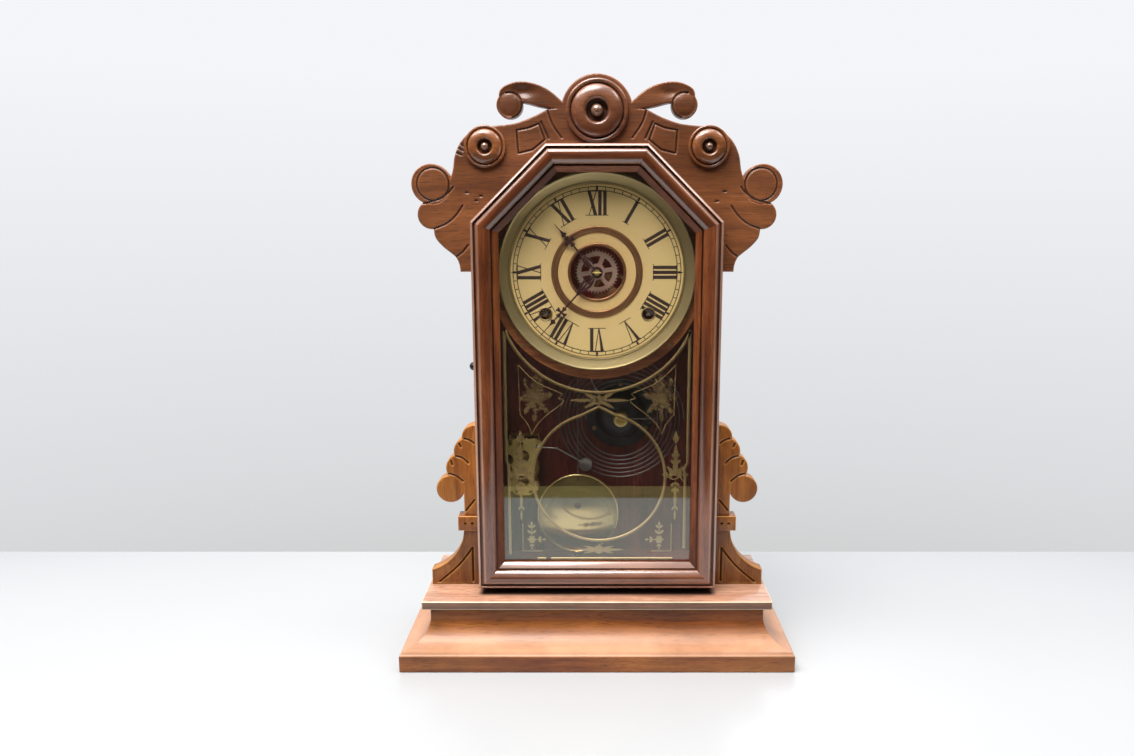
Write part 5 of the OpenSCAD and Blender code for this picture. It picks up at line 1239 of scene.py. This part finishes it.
def track_tree():
    tree, given, out = geometry_tree("minute_track", [
        ("Ticks", "NodeSocketInt"), ("Radius", "NodeSocketFloat"), ("Material", "NodeSocketMaterial")])
    ring = put(tree, "GeometryNodeCurvePrimitiveCircle", {"Resolution": given.outputs["Ticks"],
               "Radius": given.outputs["Radius"]}).outputs[0]
    spread = put(tree, "GeometryNodeCurveToPoints", {0: ring}, mode="EVALUATED").outputs
    placed = put(tree, "GeometryNodeInstanceOnPoints", {"Points": spread[0],
                 "Instance": given.outputs["Geometry"], "Rotation": spread[3]}).outputs[0]
    real = put(tree, "GeometryNodeRealizeInstances", {0: placed}).outputs[0]
    done = put(tree, "GeometryNodeSetMaterial", {0: real, 2: given.outputs["Material"]}).outputs[0]
    tree.links.new(done, out.inputs[0])
    return tree


def flat_tick(width, height, depth):
    mesh = bpy.data.meshes.new("tick")
    work = bmesh.new()
    bmesh.ops.create_cube(work, size=1.0)
    for vertex in work.verts:
        vertex.co = Vector((vertex.co.x * height, vertex.co.y * depth, vertex.co.z * width)) * MM
    work.to_mesh(mesh)
    work.free()
    return mesh


track = grown("minute_ticks", flat_tick(0.7, 3.2, INK_T), track_tree(),
              {"Ticks": 60, "Radius": TRACK_R * MM, "Material": print_ink})
for vertex in track.data.vertices:
    x, y, z = vertex.co
    vertex.co = (x + DIAL[0] * MM, (INK_Y + INK_T / 2) * MM + z, y + DIAL[1] * MM)
track.data.flip_normals()
print("tick height off the dial:", round(max(v.co.y for v in track.data.vertices) / MM - INK_Y, 2), "mm")
fit(track, print_ink, "case", "dial_paper")
lines = [lathe(DIAL, INK_Y + INK_T,
               [(r - 0.36, 0), (r + 0.36, 0), (r + 0.36, INK_T), (r - 0.36, INK_T)], 180)
         for r in (TRACK_R - 1.7, TRACK_R + 1.7)]
fit(make("minute_track_lines", *join_lists(lines)), print_ink, "case", "dial_paper")

# %% [markdown]
# ## Hands
# The hands are punched from thin steel: an open leaf by the boss, a slim blade, a Maltese
# cross with flared arms, and a small arrow before the point. Each hand is a stack of flat
# shapes that share one thickness, turned to the time that the solid shows.


# %% Hand shapes
def fan(middle, angle, reach, narrow, wide):
    """Flared arm of the cross, as a flat shape with two knobs at its end."""
    c, s = math.cos(math.radians(angle)), math.sin(math.radians(angle))
    flat = [(-narrow, 0.3), (narrow, 0.3), (wide * 0.6, reach * 0.62), (wide, reach * 0.8),
            (wide * 0.75, reach), (0.0, reach * 0.9), (-wide * 0.75, reach), (-wide, reach * 0.8),
            (-wide * 0.6, reach * 0.62)]
    return [(x * c + z * s, middle - x * s + z * c) for x, z in flat]


def hand_shapes(length, cross, arrow, boss):
    leaf = [[(side * x, z) for x, z in smooth([(0.6, boss - 1), (3.6, boss + 4.5), (4.5, cross * 0.31),
                                               (2.4, cross * 0.46), (0.6, cross * 0.58)], 4)]
            + [(side * 0.3, cross * 0.5), (side * 1.4, cross * 0.4), (side * 2.4, cross * 0.28),
               (side * 1.0, boss)] for side in (-1, 1)]
    blade = [[(-0.8, boss - 1), (0.8, boss - 1), (0.75, cross), (0.55, arrow), (0.3, length), (-0.3, length),
              (-0.55, arrow), (-0.75, cross)]]
    cross_arms = [fan(cross, angle, 5.4, 0.7, 2.3) for angle in (0, 90, 180, 270)]
    head = [[(0.0, arrow - 3.4), (2.9, arrow - 1.4), (1.2, arrow + 1.0), (0.0, arrow + 6.0),
             (-1.2, arrow + 1.0), (-2.9, arrow - 1.4)]]
    return leaf + blade + cross_arms + head


def hand(name, body, node, turn, sizes, bore):
    """Flat shapes between the front and the back of the solid hand, round a bored eye."""
    low, high = span(node)
    boss, thick = sizes[3], high[1] - low[1]
    eye = lathe(DIAL, high[1], [(bore, 0.0), (boss, 0.0), (boss, thick), (bore, thick)], 64)
    blades = [prism(on_dial(shape, turn), low[1] + LIFT * k, high[1] - LIFT * k)
              for k, shape in enumerate(hand_shapes(*sizes))]
    fit(make(name, *join_lists([eye] + blades)), hand_lacquer, body, "hand_black", node)


def shown_time(node):
    """Clockwise angle of a solid hand, from the far corner of its box."""
    low, high = span(node)
    x = low[0] if abs(low[0]) > abs(high[0]) else high[0]
    z = low[2] if abs(low[2] - DIAL[1]) > abs(high[2] - DIAL[1]) else high[2]
    return math.atan2(x - DIAL[0], z - DIAL[1])


hand("maltese_minute_hand", "minute", "minute_hand", shown_time("minute_hand"), (78.5, 49.0, 61.5, 4.4), 1.5)
hand("maltese_hour_hand", "hour", "hour_hand", shown_time("hour_hand"), (58.0, 37.5, 46.5, 5.2), 3.0)

# %% [markdown]
# ## Small works in sight
# Two things in the works need more than a plain solid. The hour wheel behind the open
# middle of the dial has a broad bright rim, and the gong hangs on a round nut with a sunk
# middle. Both are lathe rings set on their solids.

# %% Wheel rim and gong nut
WHEEL_T = 1.4
wheel_high = span("hour_wheel")[1]
wheel_rings = [lathe(DIAL, wheel_high[1] - WHEEL_T + 0.15, [(a, 0.0), (b, 0.0), (b, 0.3), (a, 0.3)], 96)
               for a, b in ((14.4, 17.2), (5.2, 7.6))]
fit(make("hour_wheel_rims", *join_lists(wheel_rings)), wheel_bronze, "hour", "movement_brass")
nut_low, nut_high = span("gong_boss")
nut_r, nut_l = (nut_high[0] - nut_low[0]) / 2, nut_high[1] - nut_low[1]
nut = [(0.05, 0.0), (nut_r - 0.1, 0.0), (nut_r - 0.1, nut_l - 2.6), (nut_r - 0.9, nut_l - 0.5),
       (nut_r - 2.4, nut_l - 0.05), (nut_r - 4.2, nut_l - 0.7), (nut_r - 4.8, nut_l - 2.4),
       (0.05, nut_l - 2.4)]
# The sunk middle of the nut is darkened, as dirt and as painted shade.
nut_dirt_and_shade = [1.0 if i in (6, 7) else 0.0 for i in range(len(nut))]
nut_middle = ((nut_low[0] + nut_high[0]) / 2, (nut_low[2] + nut_high[2]) / 2)
fit(make("gong_nut", *lathe(nut_middle, nut_high[1], nut, 48, {"dirt_and_shade": nut_dirt_and_shade})), works_brass, "case",
    "movement_brass", "gong_boss")

# %% [markdown]
# ## Alarm cage
# The alarm works sit low on the left of the back board, in a cage of two pierced brass
# plates on four pillars. Round windows are cut right through each plate, so the toothed
# wheel shows between them.

# %% Pierced plates
CAGE_AT, PLATE_T = (-74.0, 165.0), 1.2
cage_low, cage_high = span("alarm_frame")
cage_edge = [(-15, -22), (-6, -28), (6, -28), (15, -22), (11, 0), (18, 22), (14, 31), (-14, 31),
             (-18, 22), (-11, 0)]
windows = [(0, 12.5, 6.2), (0, -12.5, 5.6), (-15.5, 9, 5.6), (16.5, 9, 5.0), (-14.5, -9, 5.0),
           (14.5, -9, 5.0), (-2.5, 24.5, 3.2), (-7, -24, 1.8), (7, -24, 1.8), (-13, 27, 2.6),
           (0, 0, 1.0), (13.5, 24, 1.0)]
CAGE_DEPTH = 16.0
cage_back = cage_low[1] + CAGE_DEPTH


def pierced_plate(front):
    flat = [(CAGE_AT[0] + x, CAGE_AT[1] + z) for x, z in cage_edge]
    plate = make("cage_plate", *prism(flat, front, front + PLATE_T))
    return cut_away(plate, [rod("cutter", (CAGE_AT[0] + x, front - 1, CAGE_AT[1] + z),
                                (CAGE_AT[0] + x, front + PLATE_T + 1, CAGE_AT[1] + z), r, 28)
                            for x, z, r in windows])


cage = [pierced_plate(cage_low[1]), pierced_plate(cage_back - PLATE_T)]
cage += [rod("cage_pillar", (CAGE_AT[0] + x, cage_low[1] + 0.1, CAGE_AT[1] + z),
             (CAGE_AT[0] + x, cage_back - 0.1, CAGE_AT[1] + z), 1.8)
         for x, z in ((-9, 26), (3, 27), (-10, -20), (10, -20))]
cage.append(rounded_board("cage_foot", (CAGE_AT[0] - 15, cage_back - PLATE_T, CAGE_AT[1] + 24.5),
                          (CAGE_AT[0] + 15, cage_high[1], CAGE_AT[1] + 30.5), 0.3))
joined = bmesh.new()
for piece in cage:
    joined.from_mesh(piece.data)
    bpy.data.objects.remove(piece)
cage_mesh = bpy.data.meshes.new("alarm_pierced_cage")
joined.to_mesh(cage_mesh)
joined.free()
soften(cage_mesh, 20.0)
fit(show("alarm_pierced_cage", cage_mesh), works_brass, "case", "movement_brass", "alarm_frame")
print("windows in each plate:", len(windows))

# %% [markdown]
# ## Pendulum bob
# The bob is a lens of sheet brass over a rim. The solid's own dome is kept, because it mirrors
# the room as a small bright picture. Only the fine bead at its edge is added, where the sheet
# was folded round the back.

# %% Bob
BOB_R = (bob_high[0] - bob_low[0]) / 2
BOB = ((bob_low[0] + bob_high[0]) / 2, bob_high[2] - BOB_R)
bead = arc(BOB_R - 0.75, 1.5, 0.72, 0.72, 0, 350, 11)
fit(make("bob_rim_bead", *lathe(BOB, bob_high[1] - 2.0, bead, 128)), rim_brass, "pendulum", "bezel_brass")

# %% [markdown]
# ## Gilt window
# The lower glass is stencilled with gold on its back: border lines, two big rings that meet
# in a bow, corner panels with leaf sprays, a candle-like drop on each side and a small swag.
# The lines follow paths, so Geometry Nodes sweeps a flat ribbon along them. The leaves are
# simple pointed shapes in generic sprays.

# %% Gilt lines with Geometry Nodes
GILT_Y, GILT_T = GLASS_BACK + 0.06, 0.05


def ribbon_tree():
    tree, given, out = geometry_tree("gilt_ribbon", [
        ("Width", "NodeSocketFloat"), ("Thickness", "NodeSocketFloat"), ("Material", "NodeSocketMaterial")])
    path = put(tree, "GeometryNodeMeshToCurve", {0: given.outputs["Geometry"]}).outputs[0]
    level = put(tree, "GeometryNodeSetCurveNormal", {0: path}, mode="Z_UP").outputs[0]
    section = put(tree, "GeometryNodeCurvePrimitiveQuadrilateral",
                  {0: given.outputs["Width"], 1: given.outputs["Thickness"]}, mode="RECTANGLE").outputs[0]
    swept = put(tree, "GeometryNodeCurveToMesh", {"Curve": level, "Profile Curve": section,
                "Fill Caps": True}).outputs[0]
    real = put(tree, "GeometryNodeRealizeInstances", {0: swept}).outputs[0]
    done = put(tree, "GeometryNodeSetMaterial", {0: real, 2: given.outputs["Material"]}).outputs[0]
    tree.links.new(done, out.inputs[0])
    return tree


RIBBON = ribbon_tree()


def stand_up(piece, y):
    """Turns a flat mesh drawn in X and Y up into X and Z, at depth y."""
    for vertex in piece.data.vertices:
        across, up, out_of = vertex.co
        vertex.co = (across, y * MM - out_of, up)
    return piece


def gilt_lines(name, lines, width):
    mesh = bpy.data.meshes.new(name + "_paths")
    points, edges = [], []
    for line, closed in lines:
        start = len(points)
        points += [(x * MM, z * MM, 0.0) for x, z in line]
        edges += [(start + i, start + i + 1) for i in range(len(line) - 1)]
        if closed:
            edges.append((start + len(line) - 1, start))
    mesh.from_pydata(points, edges, [])
    piece = grown(name, mesh, RIBBON, {"Width": width * MM, "Thickness": GILT_T * MM, "Material": gilt})
    return fit(stand_up(piece, GILT_Y), gilt, "door", "bezel_brass")


RING_TOP, RING_LOW = ((0.8, 345.8), 91.2), ((1.9, 173.0), 62.0)
EDGE_X, EDGE_LOW = 84.7, 92.7
bold = [
    (ring_line(*RING_TOP, 201.5, 338.5, 80), False),
    ([(1.8, 241.0)] + ring_line(*RING_LOW, 106, 434, 110) + [(1.8, 241.0)], False),
    ([(-EDGE_X, 312.0), (-EDGE_X, 190.0), (-EDGE_X + 2.0, 184.0), (-EDGE_X + 2.0, 97.0)], False),
    ([(EDGE_X, 312.0), (EDGE_X, 187.0), (EDGE_X - 3.5, 181.0), (EDGE_X - 2.0, 175.0), (EDGE_X - 2.0, 103.0)],
     False),
    ([(-44.0, EDGE_LOW), (72.0, EDGE_LOW)], False),
    ([(-57.0, EDGE_LOW), (-48.5, EDGE_LOW)], False),
]
gilt_lines("gilt_bold_lines", bold, 2.8)


def panel(side):
    """Thin outline of a corner panel, between the two rings."""
    upper = [(side * x, z) for x, z in smooth([(-72.4, 280.5), (-56.0, 264.5), (-31.7, 253.4)], 6)]
    lower = [(side * x, z) for x, z in smooth([(-36.0, 249.0), (-31.0, 245.8), (-48.0, 232.0),
                                               (-57.0, 222.0), (-60.5, 214.5)], 6)]
    outer = [(side * x, z) for x, z in smooth([(-60.5, 214.5), (-64.0, 224.0), (-71.3, 233.6)], 5)]
    return upper + lower + outer


fine = [(panel(-1), True), (panel(1), True)]
for side in (-1, 1):
    fine.append(([(side * 70.5, 128.0), (side * 70.5, 100.5), (side * 52.0, 100.5)], False))
    fine.append((ring_line((side * 72.0, 178.0), 6.5, 200, 340, 12), False))
    fine.append((ring_line((side * 72.0, 166.0), 9.5, 20, 160, 16), False))
gilt_lines("gilt_fine_lines", fine, 0.9)


# %% Gilt leaves
def leaf(x, z, turn, length, width):
    """Pointed leaf that grows from (x, z) in the given direction in degrees."""
    c, s = math.cos(math.radians(turn)), math.sin(math.radians(turn))
    side = [(t, width / 2 * math.sin(math.pi * t) ** 0.8) for t in np.linspace(0, 1, 7)]
    outline = side + [(t, -w) for t, w in side[-2:0:-1]]
    return [(x + t * length * c - w * s, z + t * length * s + w * c) for t, w in outline]


def blossom(x, z, radius, petals=6, turn=0.0):
    return [leaf(x, z, turn + 360.0 * k / petals, radius, radius * 0.55) for k in range(petals)]


def spray(x, z, turn, length, pairs, width=2.4):
    """A stem with pairs of leaves and one at its tip."""
    c, s = math.cos(math.radians(turn)), math.sin(math.radians(turn))
    shapes = [leaf(x, z, turn, length, 1.0)]
    for k in range(pairs):
        along = length * (k + 0.6) / (pairs + 0.4)
        size = length * 0.42 * (1.0 - 0.35 * k / pairs)
        for lean in (-48, 48):
            shapes.append(leaf(x + along * c, z + along * s, turn + lean, size, width))
    return shapes + [leaf(x + length * 0.8 * c, z + length * 0.8 * s, turn, length * 0.35, width)]


def mirrored(shapes, shift=0.0):
    return [[(-x + shift, z) for x, z in shape[::-1]] for shape in shapes]


def foliage(seed, middle, reach, count):
    """Curled stems with small leaves that fill a panel from its middle."""
    luck = random.Random(seed)
    shapes = blossom(*middle, 4.6, 7) + blossom(*middle, 2.4, 5, 30.0)
    for k in range(count):
        turn = 360.0 * k / count + luck.uniform(-9, 9)
        long = reach(math.radians(turn)) * luck.uniform(0.8, 1.0)
        x, z, bend = middle[0], middle[1], luck.choice((-1, 1)) * luck.uniform(3, 8)
        steps = max(3, int(long / 2.6))
        for i in range(steps):
            shapes.append(leaf(x, z, turn, long / steps * 1.15, 0.6))
            x += long / steps * math.cos(math.radians(turn))
            z += long / steps * math.sin(math.radians(turn))
            turn += bend
            size = luck.uniform(2.6, 4.6) * (1.0 - 0.3 * i / steps)
            for lean in (-50, 50):
                shapes.append(leaf(x, z, turn + lean + luck.uniform(-14, 14), size, size * 0.5))
        shapes.append(leaf(x, z, turn, 4.4, 2.2))
    return shapes


def panel_reach(turn):
    """Room from the flower to the panel's edge, by direction."""
    spread = {118: 27.0, 60: 15.0, 12: 20.0, -25: 13.0, -75: 24.0, -115: 15.0, 170: 11.0}
    degrees = math.degrees(turn) % 360
    weights = [(1.0 / (4.0 + min(abs(degrees - a % 360), 360 - abs(degrees - a % 360))) ** 2, r)
               for a, r in spread.items()]
    return 0.86 * sum(w * r for w, r in weights) / sum(w for w, r in weights)


corner_leaves = foliage(3, (-57.5, 248.5), panel_reach, 13)
LOW_X, LOW_Z, DROP_X = -62.0, 112.0, -71.5
low_leaves = blossom(LOW_X, LOW_Z, 4.5, 6) + spray(LOW_X, LOW_Z + 2, 90, 14, 2)
low_leaves += spray(LOW_X + 2, LOW_Z, 0, 10, 1) + spray(LOW_X, LOW_Z - 2, -90, 7, 1, 1.8)
drop = [leaf(DROP_X, *shape) for shape in (
    (205.0, 90, 14.0, 3.6), (207.0, 62, 7.0, 2.2), (207.0, 118, 7.0, 2.2), (184.0, 90, 22.0, 4.2),
    (190.0, -90, 14.0, 5.0))]
for z, turn, long in ((182.0, 90, 16), (176.0, 0, 11), (176.0, 180, 11), (172.0, -90, 14)):
    drop += spray(DROP_X, z, turn, long, 2, 3.0)
drop += [leaf(DROP_X, *shape) for shape in (
    (176.0, 45, 12.0, 3.2), (176.0, 135, 12.0, 3.2), (160.0, -90, 18.0, 3.0), (146.0, -60, 6.0, 2.0),
    (146.0, -120, 6.0, 2.0), (142.0, -90, 11.0, 2.0))]
bow_x, bow_z, swag_z = 1.8, 247.3, 101.8
bow = blossom(bow_x, bow_z, 5.5, 8)
for turn in (0, 180):
    bow += [leaf(bow_x + 3 * math.cos(math.radians(turn)), bow_z, turn, 25.0, 3.2)]
    for lean in (-28, 28):
        bow += [leaf(bow_x, bow_z, turn + lean, 16.0, 3.6)]
swag = blossom(bow_x, swag_z, 5.0, 8)
for turn in (0, 180):
    swag += [leaf(bow_x, swag_z, turn + lean, long, wide)
             for lean, long, wide in ((0, 24.0, 2.6), (14, 15.0, 2.2), (-14, 15.0, 2.2))]
leaves = low_leaves + mirrored(low_leaves, -3.0) + drop + mirrored(drop, 2.0) + bow + swag
LEAF_T, LEAF_STEP, LEAF_LAYERS = 0.01, 0.012, 9


def gilt_shapes(shapes):
    """Leaves of gold in a few thin layers, so that crossing leaves never share a face."""
    parts = []
    for k, shape in enumerate(shapes):
        front = GILT_Y + 0.04 + LEAF_STEP * (k % LEAF_LAYERS)
        parts.append(prism(shape, front, front + LEAF_T))
    return parts


fit(make("gilt_leaves", *join_lists(gilt_shapes(leaves))), gilt, "door", "bezel_brass")
fit(make("gilt_corner_leaves", *join_lists(gilt_shapes(corner_leaves + mirrored(corner_leaves, 2.0)))),
    dull_gilt, "door", "bezel_brass")

# %% [markdown]
# ## Stage
# A pale table top carries the clock, and behind it there is only light. What the eye sees
# of the room is a plain bright wall. What the varnish and the glass see is a real room:
# bright above, dim in front, so that the pane mirrors the table and stays clear above it.


# %% Table and room
def paint_table():
    material, tree, bsdf = blank("table_white")
    cloud = noise(tree, place_of(tree), 3.0, 3.0)
    white = blend_colour(tree, cloud, (0.51, 0.515, 0.52, 1), (0.55, 0.555, 0.56, 1))
    depth = put(tree, "ShaderNodeSeparateXYZ", {0: place_of(tree)}).outputs[1]
    strip = ranged(tree, depth, (TABLE_FRONT + LIPPING - 4) * MM, (TABLE_FRONT + LIPPING + 4) * MM)
    tree.links.new(blend_colour(tree, strip, (0.3, 0.24, 0.1, 1), white), bsdf.inputs["Base Color"])
    bsdf.inputs["Roughness"].default_value = 0.3
    return material


TABLE_FRONT, TABLE_BACK, TABLE_HALF, TABLE_T = -551.0, 232.0, 1700.0, 25.0
LIPPING = 60.0
table = rounded_board("table_top", (-TABLE_HALF, TABLE_FRONT, -TABLE_T),
                      (TABLE_HALF, TABLE_BACK, -0.05), 2.0)
table.data.materials.append(paint_table())


def light_room():
    world = bpy.data.worlds.new("room")
    scene.world = world
    world.use_nodes = True
    tree = world.node_tree
    back = tree.nodes["Background"]
    way = put(tree, "ShaderNodeTexCoord").outputs["Generated"]
    part = put(tree, "ShaderNodeSeparateXYZ", {0: way})
    wall = ramp(tree, ranged(tree, part.outputs[2], -0.37, 0.14),
                [(0.0, (0.63, 0.64, 0.64)), (0.2, (0.7, 0.715, 0.73)), (1.0, (0.91, 0.915, 0.95))])
    high = ranged(tree, part.outputs[2], 0.45, 0.9)
    behind = maths(tree, "MULTIPLY", ranged(tree, part.outputs[1], 0.1, 0.6), 0.95)
    room = maths(tree, "MAXIMUM", high, behind)
    seen = blend_colour(tree, room, (0.035, 0.028, 0.022, 1), (0.85, 0.88, 0.92, 1))
    eye = put(tree, "ShaderNodeLightPath").outputs["Is Camera Ray"]
    tree.links.new(blend_colour(tree, eye, seen, wall), back.inputs["Color"])


light_room()
scene.view_settings.view_transform = "Standard"


# %% Lamps
def lamp(name, place, target, width, height, power, tint=(1.0, 1.0, 1.0)):
    data = bpy.data.lights.new(name, "AREA")
    data.shape, data.size, data.size_y = "RECTANGLE", width, height
    data.energy, data.color = power, tint
    made = bpy.data.objects.new(name, data)
    made.location = place
    made.rotation_euler = (Vector(target) - Vector(place)).to_track_quat("-Z", "Y").to_euler()
    scene.collection.objects.link(made)


lamp("key_softbox", (-0.35, -0.65, 1.7), (0.0, -0.05, 0.2), 1.0, 0.8, 33.0, (1.0, 0.98, 0.96))
for name, place, width, height, power in (("ceiling_left", (-1.25, -0.2, 1.75), 0.8, 0.5, 9.0),
                                          ("ceiling_middle", (0.0, -0.12, 2.0), 1.3, 0.4, 8.0),
                                          ("ceiling_right", (1.25, -0.2, 1.75), 0.8, 0.5, 8.0)):
    lamp(name, place, (0.0, -0.05, 0.3), width, height, power)
lamp("back_fill", (0.4, 1.3, 1.2), (0.0, 0.0, 0.3), 1.0, 0.8, 4.0)
print("lamps:", len(bpy.data.lights))
